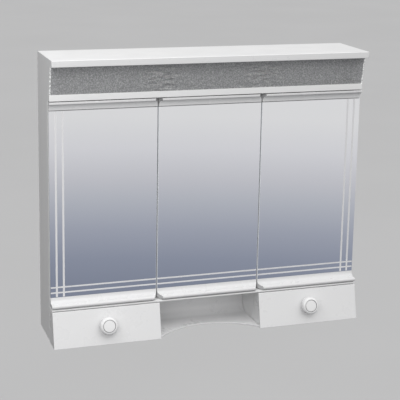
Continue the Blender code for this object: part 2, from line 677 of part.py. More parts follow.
# ---------------------------------------------------------------- drawers
def drawer_box(side):
    """Open tray that runs on the base panel."""
    label = "left" if side < 0 else "right"
    x0, x1 = sorted((side * (BAY_X + BAY_WALL_T + DRAWER_PLAY), side * (INNER_X - DRAWER_PLAY)))
    low = CARCASS_LOW + BASE_T + SEAT
    front = FRONT_BACK - SEAT
    high = FLOOR_LOW - BOX_HEADROOM
    tray = box(f"{label}_drawer_box", (x0, x1), (BOX_BACK_DEPTH, front), (low, high), "white_plastic")
    hollow = box(f"{label}_drawer_hollow", (x0 + BOX_WALL, x1 - BOX_WALL),
                 (BOX_BACK_DEPTH + BOX_WALL, front - BOX_WALL), (low + BOX_WALL, high + 0.02))
    return boolean(tray, hollow)


def drawer_front(side):
    """Leaning moulded front, hollow behind and open towards the drawer box."""
    label = "left" if side < 0 else "right"
    x0, x1 = sorted((side * BAY_X, side * WIDTH / 2))
    outline = [(FRONT_BACK, DRAWER_LOW), (DRAWER_LOW_DEPTH, DRAWER_LOW), (DRAWER_TOP_DEPTH, DRAWER_TOP),
               (FRONT_BACK, DRAWER_TOP)]
    front = section_along_x(f"{label}_drawer_front", outline, (x0, x1), "white_plastic")
    skin = DRAWER_SKIN
    slope = skin * math.tan(DRAWER_TILT)
    face_skin = skin / math.cos(DRAWER_TILT)
    hollow = [(FRONT_BACK - 0.01, DRAWER_LOW + skin),
              (DRAWER_LOW_DEPTH - slope - face_skin, DRAWER_LOW + skin),
              (DRAWER_TOP_DEPTH + slope - face_skin, DRAWER_TOP - skin),
              (FRONT_BACK - 0.01, DRAWER_TOP - skin)]
    boolean(front, section_along_x(f"{label}_front_hollow", hollow, (x0 + skin, x1 - skin)))
    hole_r = SCREW_R + TURN
    hole = turned(f"{label}_knob_hole", [(0.0, -0.02), (hole_r, -0.02), (hole_r, 0.02), (0.0, 0.02)],
                  knob_place(side), None, SMALL_ROUND)
    return boolean(front, hole)


def knob_place(side):
    """Frame on the front's face at the knob: local Z points out of the leaning face."""
    x = side * (BAY_X + WIDTH / 2) / 2
    z = (DRAWER_LOW + DRAWER_TOP) / 2 + KNOB_RISE
    share = (DRAWER_TOP - z) / DRAWER_FRONT_H
    depth = DRAWER_TOP_DEPTH + share * (DRAWER_LOW_DEPTH - DRAWER_TOP_DEPTH)
    return Matrix.Translation((x, -depth, z)) @ Matrix.Rotation(math.pi / 2 - DRAWER_TILT, 4, "X")


def drawer_knob(side):
    """Round knob, the flat cap let into its face, and the screw that holds it from inside."""
    label = "left" if side < 0 else "right"
    place = knob_place(side)
    neck, top = SEAT + KNOB_NECK_H, SEAT + KNOB_NECK_H + KNOB_HEAD_H
    rim, floor, edge = KNOB_RIM_R, top - KNOB_CAP_T, 0.0012
    bore_r, bore_top = SCREW_R + TURN, floor - 0.003
    profile = [(0.0, bore_top), (bore_r, bore_top), (bore_r, SEAT), (KNOB_NECK_R + 0.001, SEAT),
               (KNOB_NECK_R, neck - 0.001), (KNOB_NECK_R + 0.001, neck), (KNOB_R - edge, neck)]
    profile += arc((KNOB_R - edge, neck + edge), (edge, edge), -60, 0, 2)
    profile += arc((KNOB_R - rim, top - rim), (rim, rim), 0, 90, 5)
    profile += [(KNOB_CAP_R + TURN, top), (KNOB_CAP_R + TURN, floor), (0.0, floor)]
    knob = turned(f"{label}_knob", profile, place, "white_plastic")
    round_r, crown = 0.0005, 0.0003
    cap_profile = [(0.0, floor + SEAT), (KNOB_CAP_R, floor + SEAT), (KNOB_CAP_R, top - crown),
                   (KNOB_CAP_R - round_r, top - crown + round_r), (0.0, top + crown)]
    cap = turned(f"{label}_knob_cap", cap_profile, place, "white_plastic")
    seat = -DRAWER_SKIN / math.cos(DRAWER_TILT) - SEAT
    screw_profile = [(0.0, seat - SCREW_HEAD_T), (SCREW_HEAD_R - round_r, seat - SCREW_HEAD_T),
                     (SCREW_HEAD_R, seat), (SCREW_R, seat), (SCREW_R, bore_top - 0.002),
                     (0.0, bore_top - 0.001)]
    screw = turned(f"{label}_knob_screw", screw_profile, place, "zinc_steel", SMALL_ROUND)
    return [knob, cap, screw]


def drawer(side):
    label = "left" if side < 0 else "right"
    pieces = [drawer_box(side), drawer_front(side)] + drawer_knob(side)
    runner = (side * (BAY_X + WIDTH / 2) / 2, -BOX_BACK_DEPTH, CARCASS_LOW + BASE_T)
    hang_on(f"{label}_drawer_slide", runner, pieces)


# ---------------------------------------------------------------- wall hangers
def hanger_centre(side):
    return side * (INNER_X - HANGER_INSET), RAIL_LOW - HANGER_INSET


def hanger(side):
    """Steel plate with a keyhole that hooks over a wall screw."""
    name = "left_hanger" if side < 0 else "right_hanger"
    cx, cz = hanger_centre(side)
    width, height, thick = HANGER_SIZE
    plate = box(name, (cx - width / 2, cx + width / 2), (INNER_BACK, INNER_BACK + thick),
                (cz - height / 2, cz + height / 2), "zinc_steel")
    low, high, through = cz - HANGER_EYE_DROP, cz + HANGER_SLOT_RISE, INNER_BACK + thick + 0.01
    eye = rod(f"{name}_eye", HANGER_EYE_R, (cx, 0.0, low), through, (0, -1, 0))
    neck = rod(f"{name}_neck", HANGER_SLOT_R, (cx, 0.0, high), through, (0, -1, 0))
    slot = box(f"{name}_slot", (cx - HANGER_SLOT_R, cx + HANGER_SLOT_R), (0.0, through), (low, high))
    for cutter in (eye, neck, slot):
        boolean(plate, cutter)
    return plate


# ---------------------------------------------------------------- the cabinet
clear_scene()
for side_sign in (-1, 1):
    side_panel(side_sign)
    partition(side_sign)
    bay_wall(side_sign)
    drawer_base(side_sign)
    lamp_holder(side_sign)
    lamp_bulb(side_sign)
    hanger(side_sign)
    drawer(side_sign)
back_panel()
lid()
light_divider()
cabinet_floor()
glass_shelves()
bay_tray()
light_diffuser()
reflector()
terminal_block()
cable_gland()
light_switch()
for door_label in ("left", "middle", "right"):
    door(door_label)
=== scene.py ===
import math

import bmesh
import bpy
from mathutils import Matrix, Vector


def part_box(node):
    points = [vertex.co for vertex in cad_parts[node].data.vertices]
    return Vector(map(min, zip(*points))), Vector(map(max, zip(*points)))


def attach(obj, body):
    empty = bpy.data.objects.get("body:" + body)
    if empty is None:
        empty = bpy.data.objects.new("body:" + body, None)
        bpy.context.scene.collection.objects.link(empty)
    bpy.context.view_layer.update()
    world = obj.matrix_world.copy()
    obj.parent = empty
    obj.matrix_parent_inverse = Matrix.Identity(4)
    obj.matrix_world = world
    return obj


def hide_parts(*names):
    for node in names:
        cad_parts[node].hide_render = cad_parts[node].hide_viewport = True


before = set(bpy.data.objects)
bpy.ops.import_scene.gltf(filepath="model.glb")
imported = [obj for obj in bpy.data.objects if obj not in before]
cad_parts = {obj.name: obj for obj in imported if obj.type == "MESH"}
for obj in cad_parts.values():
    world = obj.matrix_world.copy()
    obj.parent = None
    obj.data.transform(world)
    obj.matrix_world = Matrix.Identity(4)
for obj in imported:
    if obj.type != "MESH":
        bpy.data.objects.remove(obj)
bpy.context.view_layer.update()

# ------------------------ camera
# The cabinet is seen from the left of its middle and from a little above the lid, through a long
# lens. The lens is shifted down so that the upright edges stay nearly parallel.
CAMERA_PLACE = Vector((-0.745, -2.272, 0.604))
YAW, PITCH, ROLL = (math.radians(a) for a in (18.49, 12.62, 1.03))

lens = bpy.data.cameras.new("studio_lens")
lens.lens, lens.sensor_width, lens.shift_y = 105.75, 36.0, -0.125
camera = bpy.data.objects.new("studio_camera", lens)
bpy.context.scene.collection.objects.link(camera)
ahead = Vector((math.sin(YAW) * math.cos(PITCH), math.cos(YAW) * math.cos(PITCH), -math.sin(PITCH)))
level = Vector((math.cos(YAW), -math.sin(YAW), 0.0))
upward = level.cross(ahead)
across = level * math.cos(ROLL) + upward * math.sin(ROLL)
upward = upward * math.cos(ROLL) - level * math.sin(ROLL)
turn = Matrix((across, upward, -ahead)).transposed().to_4x4()
camera.matrix_world = Matrix.Translation(CAMERA_PLACE) @ turn
bpy.context.scene.camera = camera

# ------------------------ floor and studio light
# A plain pale floor well under the hanging cabinet, a pale surround that is brighter overhead, one
# large soft lamp in front and above, and two weaker ones. What polished surfaces mirror is a room
# that gets darker and bluer towards the ground in front, and stays a neutral grey behind.
FLOOR_LEVEL = -1.30
FLOOR_REACH = 60.0


def add_node(tree, kind, inputs=None, **settings):
    """A node with its settings, and its inputs set to plain values or linked to other sockets."""
    node = tree.nodes.new(kind)
    for label, value in settings.items():
        setattr(node, label, value)
    for label, value in (inputs or {}).items():
        if isinstance(value, bpy.types.NodeSocket):
            tree.links.new(value, node.inputs[label])
        else:
            node.inputs[label].default_value = value
    return node


def start_material(name, **values):
    """A material, its shader with plain values on its own sockets, and the object's coordinates."""
    material = bpy.data.materials.new(name)
    material.use_nodes = True
    tree = material.node_tree
    shader = tree.nodes["Principled BSDF"]
    for label, value in values.items():
        shader.inputs[label.replace("_", " ")].default_value = value
    return material, tree, shader, add_node(tree, "ShaderNodeTexCoord").outputs["Object"]


def maths(tree, operation, a, b=None, clamp=False):
    """A Math node on sockets or plain numbers, and its result."""
    values = {spot: value for spot, value in enumerate((a, b)) if value is not None}
    return add_node(tree, "ShaderNodeMath", values, operation=operation, use_clamp=clamp).outputs[0]


def scaled(tree, value, gain, base=0.0, clamp=False):
    """value times gain, plus base."""
    return add_node(tree, "ShaderNodeMath", {0: value, 1: gain, 2: base}, operation="MULTIPLY_ADD",
                    use_clamp=clamp).outputs[0]


def noise_of(tree, place, scale, detail=3.0, rough=0.5, stretch=None):
    """The value of a noise; stretch squeezes the pattern along each axis."""
    if stretch is not None:
        squeeze = add_node(tree, "ShaderNodeVectorMath", {0: place, 1: stretch}, operation="MULTIPLY")
        place = squeeze.outputs[0]
    return add_node(tree, "ShaderNodeTexNoise", {
        "Vector": place, "Scale": scale, "Detail": detail, "Roughness": rough}).outputs["Fac"]


def window_of(tree, value, low, high):
    """0 below low, 1 above high, and smooth between them."""
    return add_node(tree, "ShaderNodeMapRange", {"Value": value, "From Min": low, "From Max": high},
                    interpolation_type="SMOOTHSTEP").outputs["Result"]


def blend_colour(tree, share, first, second):
    """first at share 0 and second at share 1; either may be a socket or a colour."""
    ends = [(*end, 1.0) if isinstance(end, tuple) else end for end in (first, second)]
    return add_node(tree, "ShaderNodeMix", {0: share, 6: ends[0], 7: ends[1]}, data_type="RGBA",
                    clamp_factor=True).outputs[2]


def lay_finish(tree, shader, tone, rough=None, relief=None):
    """Links a finish to its shader; a relief is a height, its strength and its distance."""
    tree.links.new(tone, shader.inputs["Base Color"])
    if rough is not None:
        tree.links.new(rough, shader.inputs["Roughness"])
    if relief is not None:
        bump = add_node(tree, "ShaderNodeBump", dict(zip(("Height", "Strength", "Distance"), relief)))
        tree.links.new(bump.outputs["Normal"], shader.inputs["Normal"])


floor_paint, tree, shader, place = start_material(
    "pale_floor_paint", Roughness=0.85, Emission_Color=(1.0, 1.0, 1.0, 1.0), Emission_Strength=0.05)
cloud = noise_of(tree, place, 0.8, 4.0)
lay_finish(tree, shader, blend_colour(tree, cloud, (0.45, 0.45, 0.453), (0.49, 0.49, 0.493)))
bm = bmesh.new()
bmesh.ops.create_grid(bm, x_segments=8, y_segments=8, size=FLOOR_REACH)
bmesh.ops.translate(bm, verts=bm.verts, vec=(0, 0, FLOOR_LEVEL))
floor_mesh = bpy.data.meshes.new("studio_floor")
bm.to_mesh(floor_mesh)
bm.free()
floor_mesh.materials.append(floor_paint)
studio_floor = bpy.data.objects.new("studio_floor", floor_mesh)
bpy.context.scene.collection.objects.link(studio_floor)
for sight in ("glossy", "diffuse", "transmission"):
    setattr(studio_floor, f"visible_{sight}", False)


def soft_lamp(name, place, aim, size, power, colour):
    data = bpy.data.lights.new(name, "AREA")
    data.shape, data.size, data.size_y = "RECTANGLE", size[0], size[1]
    data.energy, data.color = power, colour
    lamp = bpy.data.objects.new(name, data)
    bpy.context.scene.collection.objects.link(lamp)
    lamp.location = place
    lamp.rotation_euler = (Vector(aim) - Vector(place)).to_track_quat("-Z", "Y").to_euler()
    return lamp


soft_lamp("key_lamp", (0.25, -1.75, 1.80), (0.0, 0.0, 0.05), (1.5, 1.2), 9.5, (1.0, 0.998, 0.993))
soft_lamp("side_lamp", (-0.85, -0.50, 0.85), (-0.3, 0.0, 0.2), (0.4, 0.4), 2.0, (1.0, 1.0, 1.0))
soft_lamp("front_lamp", (-0.78, -1.05, 0.28), (-0.3, 0.0, 0.2), (0.6, 0.6), 2.4, (1.0, 1.0, 1.0))


def studio_surround():
    """Matt surfaces see light that grows upwards and forwards; polish sees the room."""
    world = bpy.data.worlds.new("studio_surround")
    world.use_nodes = True
    tree = world.node_tree
    tree.nodes.clear()
    heading = add_node(tree, "ShaderNodeTexCoord").outputs["Generated"]
    split = add_node(tree, "ShaderNodeSeparateXYZ", {0: heading}).outputs

    def reach(axis, sign, gain, before=0.01):
        return scaled(tree, maths(tree, "MULTIPLY", split[axis], sign, True), gain, before)

    total = reach("X", -1.0, -0.36, reach("Y", 1.0, 0.16, reach("Y", -1.0, 0.51, reach("Z", 1.0, 1.34))))
    matt = add_node(tree, "ShaderNodeBackground", {
        "Color": (1.0, 1.0, 1.0, 1.0), "Strength": maths(tree, "MAXIMUM", total, 0.0)})

    height = add_node(tree, "ShaderNodeMapRange", {"Value": split["Z"], "From Min": -0.34, "From Max": -0.18})
    room = add_node(tree, "ShaderNodeValToRGB", {"Fac": height.outputs["Result"]})
    stops = ((0.08, (0.232, 0.257, 0.330)), (0.20, (0.270, 0.295, 0.372)), (0.35, (0.358, 0.378, 0.450)),
             (0.50, (0.472, 0.487, 0.540)), (0.61, (0.565, 0.566, 0.608)), (0.76, (0.680, 0.678, 0.710)),
             (0.93, (0.755, 0.752, 0.762)))
    while len(room.color_ramp.elements) < len(stops):
        room.color_ramp.elements.new(0.5)
    for stop, (spot, colour) in zip(room.color_ramp.elements, stops):
        stop.position, stop.color = spot, (*colour, 1.0)
    behind = window_of(tree, split["Y"], -0.15, 0.35)
    tone = blend_colour(tree, behind, room.outputs["Color"], (0.30, 0.30, 0.305))
    polished = add_node(tree, "ShaderNodeBackground", {"Color": tone})
    plain = add_node(tree, "ShaderNodeBackground", {"Color": (0.525, 0.525, 0.53, 1.0)})

    path = add_node(tree, "ShaderNodeLightPath").outputs
    straight = maths(tree, "MULTIPLY", path["Is Glossy Ray"],
                     maths(tree, "LESS_THAN", path["Diffuse Depth"], 0.5))
    polish = add_node(tree, "ShaderNodeMixShader", {0: straight, 1: matt.outputs[0], 2: polished.outputs[0]})
    seen = add_node(tree, "ShaderNodeMixShader", {
        0: path["Is Camera Ray"], 1: polish.outputs[0], 2: plain.outputs[0]})
    add_node(tree, "ShaderNodeOutputWorld", {"Surface": seen.outputs[0]})
    return world


bpy.context.scene.world = studio_surround()
bpy.context.scene.view_settings.view_transform = "Standard"

# ------------------------ side panels
# The two sides of the case: 12 mm fibreboard, sprayed with white satin lacquer and edged at the
# front. Everything else is dowelled and glued between them.
PANEL_EDGE = 0.0007


def start_group(name, kind, inputs, outputs):
    """A node group with named inputs and outputs, each with its kind and value, and its end nodes."""
    group = bpy.data.node_groups.new(name, kind)
    for in_out, rows in (("INPUT", inputs), ("OUTPUT", outputs)):
        for label, holds, *value in rows:
            socket = group.interface.new_socket(label, in_out=in_out, socket_type=f"NodeSocket{holds}")
            if value:
                socket.default_value = value[0]
    return group, add_node(group, "NodeGroupInput"), add_node(group, "NodeGroupOutput")


def paint_skin_group():
    """How a sprayed or moulded skin varies: its clouds, its gloss and its orange peel."""
    group, start, end = start_group(
        "paint_skin", "ShaderNodeTree",
        [("Position", "Vector"), ("Cloud Size", "Float", 0.25), ("Peel Size", "Float", 0.003)],
        [("Tone", "Float"), ("Gloss", "Float"), ("Height", "Float")])
    place = start.outputs["Position"]
    cloud_scale = maths(group, "DIVIDE", 1.0, start.outputs["Cloud Size"])
    peel_scale = maths(group, "DIVIDE", 1.0, start.outputs["Peel Size"])
    wide = noise_of(group, place, cloud_scale, 4.0, 0.55)
    runs = noise_of(group, place, cloud_scale, 3.0, 0.6, (3.0, 3.0, 0.35))
    tone = scaled(group, wide, 0.65, maths(group, "MULTIPLY", runs, 0.35))
    patches = noise_of(group, place, maths(group, "MULTIPLY", cloud_scale, 7.0), 5.0, 0.65)
    peel = noise_of(group, place, peel_scale, 2.0)
    nib = noise_of(group, place, maths(group, "MULTIPLY", peel_scale, 3.1), 2.0, 0.6)
    for label, value in (("Tone", window_of(group, tone, 0.33, 0.67)),
                         ("Gloss", window_of(group, patches, 0.3, 0.7)),
                         ("Height", scaled(group, peel, 0.75, maths(group, "MULTIPLY", nib, 0.25)))):
        group.links.new(value, end.inputs[label])
    return group


def mask_group(name, amount, extra, draw):
    """A group that draws a mask over Position and weakens it by Amount."""
    group, start, end = start_group(
        name, "ShaderNodeTree", [("Position", "Vector"), *extra, ("Amount", "Float", amount)],
        [("Mask", "Float")])
    mask = maths(group, "MULTIPLY", draw(group, start.outputs), start.outputs["Amount"], True)
    group.links.new(mask, end.inputs["Mask"])
    return group


def hand_scuffs(group, given):
    """Short faint scratches in patches, where hands and bottles touch."""
    lines = [window_of(group, noise_of(group, given["Position"], 1.0, 2.0, 0.5, stretch), 0.655, 0.70)
             for stretch in ((900.0, 900.0, 22.0), (26.0, 500.0, 1000.0))]
    patch = window_of(group, noise_of(group, given["Position"], 9.0, 3.0, 0.6), 0.50, 0.66)
    return maths(group, "MULTIPLY", maths(group, "MAXIMUM", *lines), patch)


def rubbed_edge(group, given):
    """Rounded edges where the finish is thin and polished, in uneven stretches."""
    uneven = window_of(group, noise_of(group, given["Position"], 38.0, 4.0, 0.65), 0.30, 0.62)
    return maths(group, "MULTIPLY", given["Edge"], scaled(group, uneven, 0.6, 0.4))


def settled_dust(group, given):
    """Fine dust on what faces up, thicker in soft patches."""
    upward = add_node(group, "ShaderNodeSeparateXYZ", {0: given["Normal"]}).outputs["Z"]
    soft = window_of(group, noise_of(group, given["Position"], 14.0, 5.0, 0.7), 0.35, 0.75)
    specks = window_of(group, noise_of(group, given["Position"], 620.0, 2.0, 0.6), 0.60, 0.72)
    cover = scaled(group, specks, 0.6, soft)
    return maths(group, "MULTIPLY", window_of(group, upward, 0.55, 0.95), cover)


PAINT_SKIN = paint_skin_group()
HAND_SCUFFS = mask_group("hand_scuffs", 0.5, [], hand_scuffs)
RUBBED_EDGE = mask_group("rubbed_edge", 0.5, [("Edge", "Float", 0.0)], rubbed_edge)
SETTLED_DUST = mask_group("settled_dust", 0.3, [("Normal", "Vector")], settled_dust)


def place_group(tree, group, **values):
    inputs = {label.replace("_", " "): value for label, value in values.items()}
    return add_node(tree, "ShaderNodeGroup", inputs, node_tree=group).outputs


def white_finish(name, colour, shade, rough, peel, lift, scuffs=0.4, rub=0.5, dust=0.25, cloud=0.25,
                 edge=(0.86, 0.86, 0.865), **plain):
    """A white coat or moulding: clouds of a second tone, scuffs, rubbed edges, dust and peel."""
    material, tree, shader, place = start_material(name, **plain)
    facing = add_node(tree, "ShaderNodeNewGeometry").outputs["Normal"]
    rounded = add_node(tree, "ShaderNodeAttribute", attribute_name="rounded").outputs["Fac"]
    skin = place_group(tree, PAINT_SKIN, Position=place, Cloud_Size=cloud, Peel_Size=peel)
    marks = place_group(tree, HAND_SCUFFS, Position=place, Amount=scuffs)["Mask"]
    worn = place_group(tree, RUBBED_EDGE, Position=place, Edge=rounded, Amount=rub)["Mask"]
    film = place_group(tree, SETTLED_DUST, Position=place, Normal=facing, Amount=dust)["Mask"]
    tone = blend_colour(tree, skin["Tone"], shade, colour)
    tone = blend_colour(tree, maths(tree, "MULTIPLY", marks, 0.16), tone, (0.55, 0.55, 0.56))
    tone = blend_colour(tree, worn, tone, edge)
    tone = blend_colour(tree, maths(tree, "MULTIPLY", film, 0.10), tone, (0.62, 0.61, 0.59))
    gloss = scaled(tree, skin["Gloss"], 0.10, rough - 0.05)
    gloss = scaled(tree, worn, -0.08, scaled(tree, marks, 0.18, gloss))
    gloss = scaled(tree, film, 0.22, gloss, True)
    lay_finish(tree, shader, tone, gloss, (scaled(tree, marks, -0.5, skin["Height"]), lift, 0.00012))
    return material


def joined_skin(node):
    """A copy of a CAD node's skin, its loose triangles joined and its flat faces made whole."""
    skin = bmesh.new()
    skin.from_mesh(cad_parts[node].data)
    bmesh.ops.remove_doubles(skin, verts=skin.verts, dist=2e-5)
    bmesh.ops.dissolve_limit(skin, angle_limit=math.radians(0.6), verts=skin.verts, edges=skin.edges)
    skin.faces.layers.float.new("rounded")
    return skin


def round_edges(skin, radius, least=35.0, shortest=5.0, below=math.inf, ahead=math.inf):
    """Rounds the long sharp edges and marks the new faces as rounded; high or rear ones can stay."""
    sharp = [e for e in skin.edges
             if e.calc_length() > shortest * radius
             and min(v.co.z for v in e.verts) < below - 1e-5
             and max(v.co.y for v in e.verts) < ahead
             and math.degrees(e.calc_face_angle(0.0)) > least
             and all(len([k for k in v.link_edges if k.calc_length() < 2.5 * radius
                          and math.degrees(k.calc_face_angle(0.0)) > least]) == 0 for v in e.verts)]
    made = bmesh.ops.bevel(skin, geom=sharp, offset=radius, offset_type="OFFSET", segments=2,
                           profile=0.5, affect="EDGES", clamp_overlap=False)
    layer = skin.faces.layers.float["rounded"]
    for face in made["faces"]:
        face[layer] = 1.0


def show(name, mesh, body, nodes=()):
    """Puts a finished mesh in the scene, riding on its body and standing for its CAD nodes."""
    piece = bpy.data.objects.new(name, mesh)
    bpy.context.scene.collection.objects.link(piece)
    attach(piece, body)
    if nodes:
        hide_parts(*nodes)
    return piece


def settle(name, skin, materials, body, nodes=(), slot=None, sharp=50.0, even=True):
    """Makes the mesh, shades its flats flat and its roundings smooth, and shows it."""
    mesh = bpy.data.meshes.new(name)
    skin.to_mesh(mesh)
    skin.free()
    for material in materials:
        mesh.materials.append(material)
    mesh.shade_smooth()
    mesh.set_sharp_from_angle(angle=math.radians(sharp))
    if even:
        trial = bpy.data.objects.new(name + "_trial", mesh)
        bpy.context.scene.collection.objects.link(trial)
        weights = trial.modifiers.new("even_shading", "WEIGHTED_NORMAL")
        weights.keep_sharp = True
        graph = bpy.context.evaluated_depsgraph_get()
        mesh = bpy.data.meshes.new_from_object(
            trial.evaluated_get(graph), preserve_all_data_layers=True, depsgraph=graph)
        bpy.data.objects.remove(trial)
        mesh.name = name
    return show(name, mesh, body, nodes)


def paint_by_facing(skin, spot, direction, least=0.9):
    """Gives the faces that look in a direction the material at a spot in the list."""
    for face in skin.faces:
        if face.normal.dot(Vector(direction)) > least:
            face.material_index = spot


WHITE_LACQUER = white_finish("white_lacquer", (0.86, 0.86, 0.862), (0.847, 0.847, 0.849), 0.36, 0.0024,
                             0.30, scuffs=0.30, rub=0.45, dust=0.25)
EDGE_BAND = white_finish("front_edge_band", (0.775, 0.775, 0.778), (0.755, 0.755, 0.758), 0.30, 0.0016,
                         0.18, scuffs=0.3, rub=0.5, dust=0.1, edge=(0.88, 0.88, 0.885))

lid_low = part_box("lid")[0][2]
for side in ("left", "right"):
    skin = joined_skin(f"{side}_side_panel")
    top = max(v.co.z for v in skin.verts)
    for vert in skin.verts:
        if vert.co.z > top - 1e-5:
            vert.co.z = lid_low
    paint_by_facing(skin, 1, (0, -1, 0), 0.7)
    round_edges(skin, PANEL_EDGE, below=lid_low)
    settle(f"{side}_side_panel_lacquered", skin, [WHITE_LACQUER, EDGE_BAND], "cabinet",
           [f"{side}_side_panel"], "carcass")

# ------------------------ lid
# The lid lies over both sides and stands out over the lamps. It is fibreboard glued down flush
# with them, filled at the joint and sprayed in one with them, and edged along its rounded front.
LID_EDGE = 0.0012


def block(low, high):
    """A plain box between two corners."""
    skin = bmesh.new()
    skin.faces.layers.float.new("rounded")
    bmesh.ops.create_cube(skin, size=1.0)
    for vert in skin.verts:
        vert.co = Vector([high[i] if vert.co[i] > 0 else low[i] for i in range(3)])
    return skin


low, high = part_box("lid")
skin = block(low, high)
mark = skin.faces.layers.float["rounded"]
soft = [e for e in skin.edges
        if any(all(abs(v.co[i] - side[i]) < 1e-6 for v in e.verts) for i, side in ((2, high), (1, low)))]
made = bmesh.ops.bevel(skin, geom=soft, offset=LID_EDGE, offset_type="OFFSET", segments=4, profile=0.5,
                       affect="EDGES")
for face in made["faces"]:
    face[mark] = 1.0
paint_by_facing(skin, 1, (0, -1, 0), 0.99)
settle("lid_lacquered", skin, [WHITE_LACQUER, EDGE_BAND], "cabinet", ["lid"], "carcass")

# ------------------------ boards between the sides
# The divider under the lamps, the floor with its thin lip, the two partitions, the walls beside
# the open bay and the boards that the drawers run on: lacquered fibreboard, grooved for shelves.
REAR_MARGIN = 0.001


def plain_piece(node, suffix, finish, slot, radius=0.0, body="cabinet", ahead=math.inf, **shading):
    """A CAD node's own skin in one finish, with its edges rounded if a radius is given."""
    skin = joined_skin(node)
    if radius:
        round_edges(skin, radius, ahead=ahead)
    settle(f"{node}_{suffix}", skin, [finish], body, [node], slot, **shading)


for node, radius in (("light_divider", 0.0009), ("cabinet_floor", 0.0006), ("left_partition", 0.0006),
                     ("right_partition", 0.0006), ("left_bay_wall", 0.0005),
                     ("right_bay_wall", 0.0005), ("left_drawer_base", 0.0005),
                     ("right_drawer_base", 0.0005)):
    # The shelf grooves of a partition end so near its rear edges that those stay sharp.
    front_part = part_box(node)[1][1] - REAR_MARGIN if "partition" in node else math.inf
    plain_piece(node, "lacquered", WHITE_LACQUER, "carcass", radius, ahead=front_part)

# ------------------------ back panel
# A 4 mm hardboard sheet let in between the sides: white foil towards the inside, a pressed sieve
# pattern with a pale primer towards the wall, and small screws with sunk heads along its edge.
PANEL_SINK = 0.0006
SCREW_PITCH, SCREW_MARGIN, SCREW_SEAT = 0.088, 0.008, 0.0014


def primed_hardboard():
    """Primed sieve side of hardboard: a fine crossing mesh, fibres and brownish thin spots."""
    material, tree, shader, place = start_material("primed_hardboard", IOR=1.45)
    weave = {"Vector": place, "Scale": 155.0, "Distortion": 0.6, "Detail": 1.0}
    waves = [add_node(tree, "ShaderNodeTexWave", weave, bands_direction=axis) for axis in ("X", "Z")]
    sieve = maths(tree, "MULTIPLY", *(wave.outputs["Fac"] for wave in waves))
    fibre = noise_of(tree, place, 1.0, 4.0, 0.6, (300.0, 300.0, 60.0))
    thin = window_of(tree, noise_of(tree, place, 11.0, 5.0, 0.7), 0.48, 0.72)
    tone = blend_colour(tree, fibre, (0.76, 0.75, 0.73), (0.82, 0.81, 0.80))
    tone = blend_colour(tree, maths(tree, "MULTIPLY", thin, 0.22), tone, (0.58, 0.53, 0.46))
    tone = blend_colour(tree, maths(tree, "MULTIPLY", sieve, 0.18), tone, (0.52, 0.50, 0.46))
    lay_finish(tree, shader, tone, scaled(tree, fibre, 0.2, 0.68, True),
               (scaled(tree, fibre, 0.5, sieve), 0.6, 0.0002))
    return material


def zinc_steel():
    """Zinc plated steel: fine draw lines, faint spangle and dull spots."""
    material, tree, shader, place = start_material("zinc_steel", Metallic=1.0)
    lines = noise_of(tree, place, 1.0, 3.0, 0.6, (2600.0, 2600.0, 260.0))
    grains = add_node(tree, "ShaderNodeTexVoronoi", {"Vector": place, "Scale": 420.0})
    spangle = window_of(tree, grains.outputs["Distance"], 0.1, 0.7)
    dull = window_of(tree, noise_of(tree, place, 160.0, 5.0, 0.7), 0.5, 0.75)
    tone = blend_colour(tree, spangle, (0.58, 0.59, 0.61), (0.66, 0.67, 0.69))
    tone = blend_colour(tree, maths(tree, "MULTIPLY", dull, 0.5), tone, (0.47, 0.47, 0.47))
    rough = scaled(tree, dull, 0.25, scaled(tree, lines, 0.16, 0.22), True)
    lay_finish(tree, shader, tone, rough, (lines, 0.25, 0.00005))
    return material


ZINC_STEEL = zinc_steel()


def start_tree(name, sizes):
    """A Geometry Nodes tree with a named input for each size, and its two end nodes."""
    shape = ("Geometry", "Geometry")
    return start_group(name, "GeometryNodeTree", [shape, *sizes], [shape])


def painted(tree, shape, finish, where=True):
    """A shape with its instances made real and a finish on it, all over or where a mask says."""
    real = add_node(tree, "GeometryNodeRealizeInstances", {0: shape})
    return add_node(tree, "GeometryNodeSetMaterial", {
        "Geometry": real.outputs[0], "Selection": where, "Material": finish}).outputs[0]


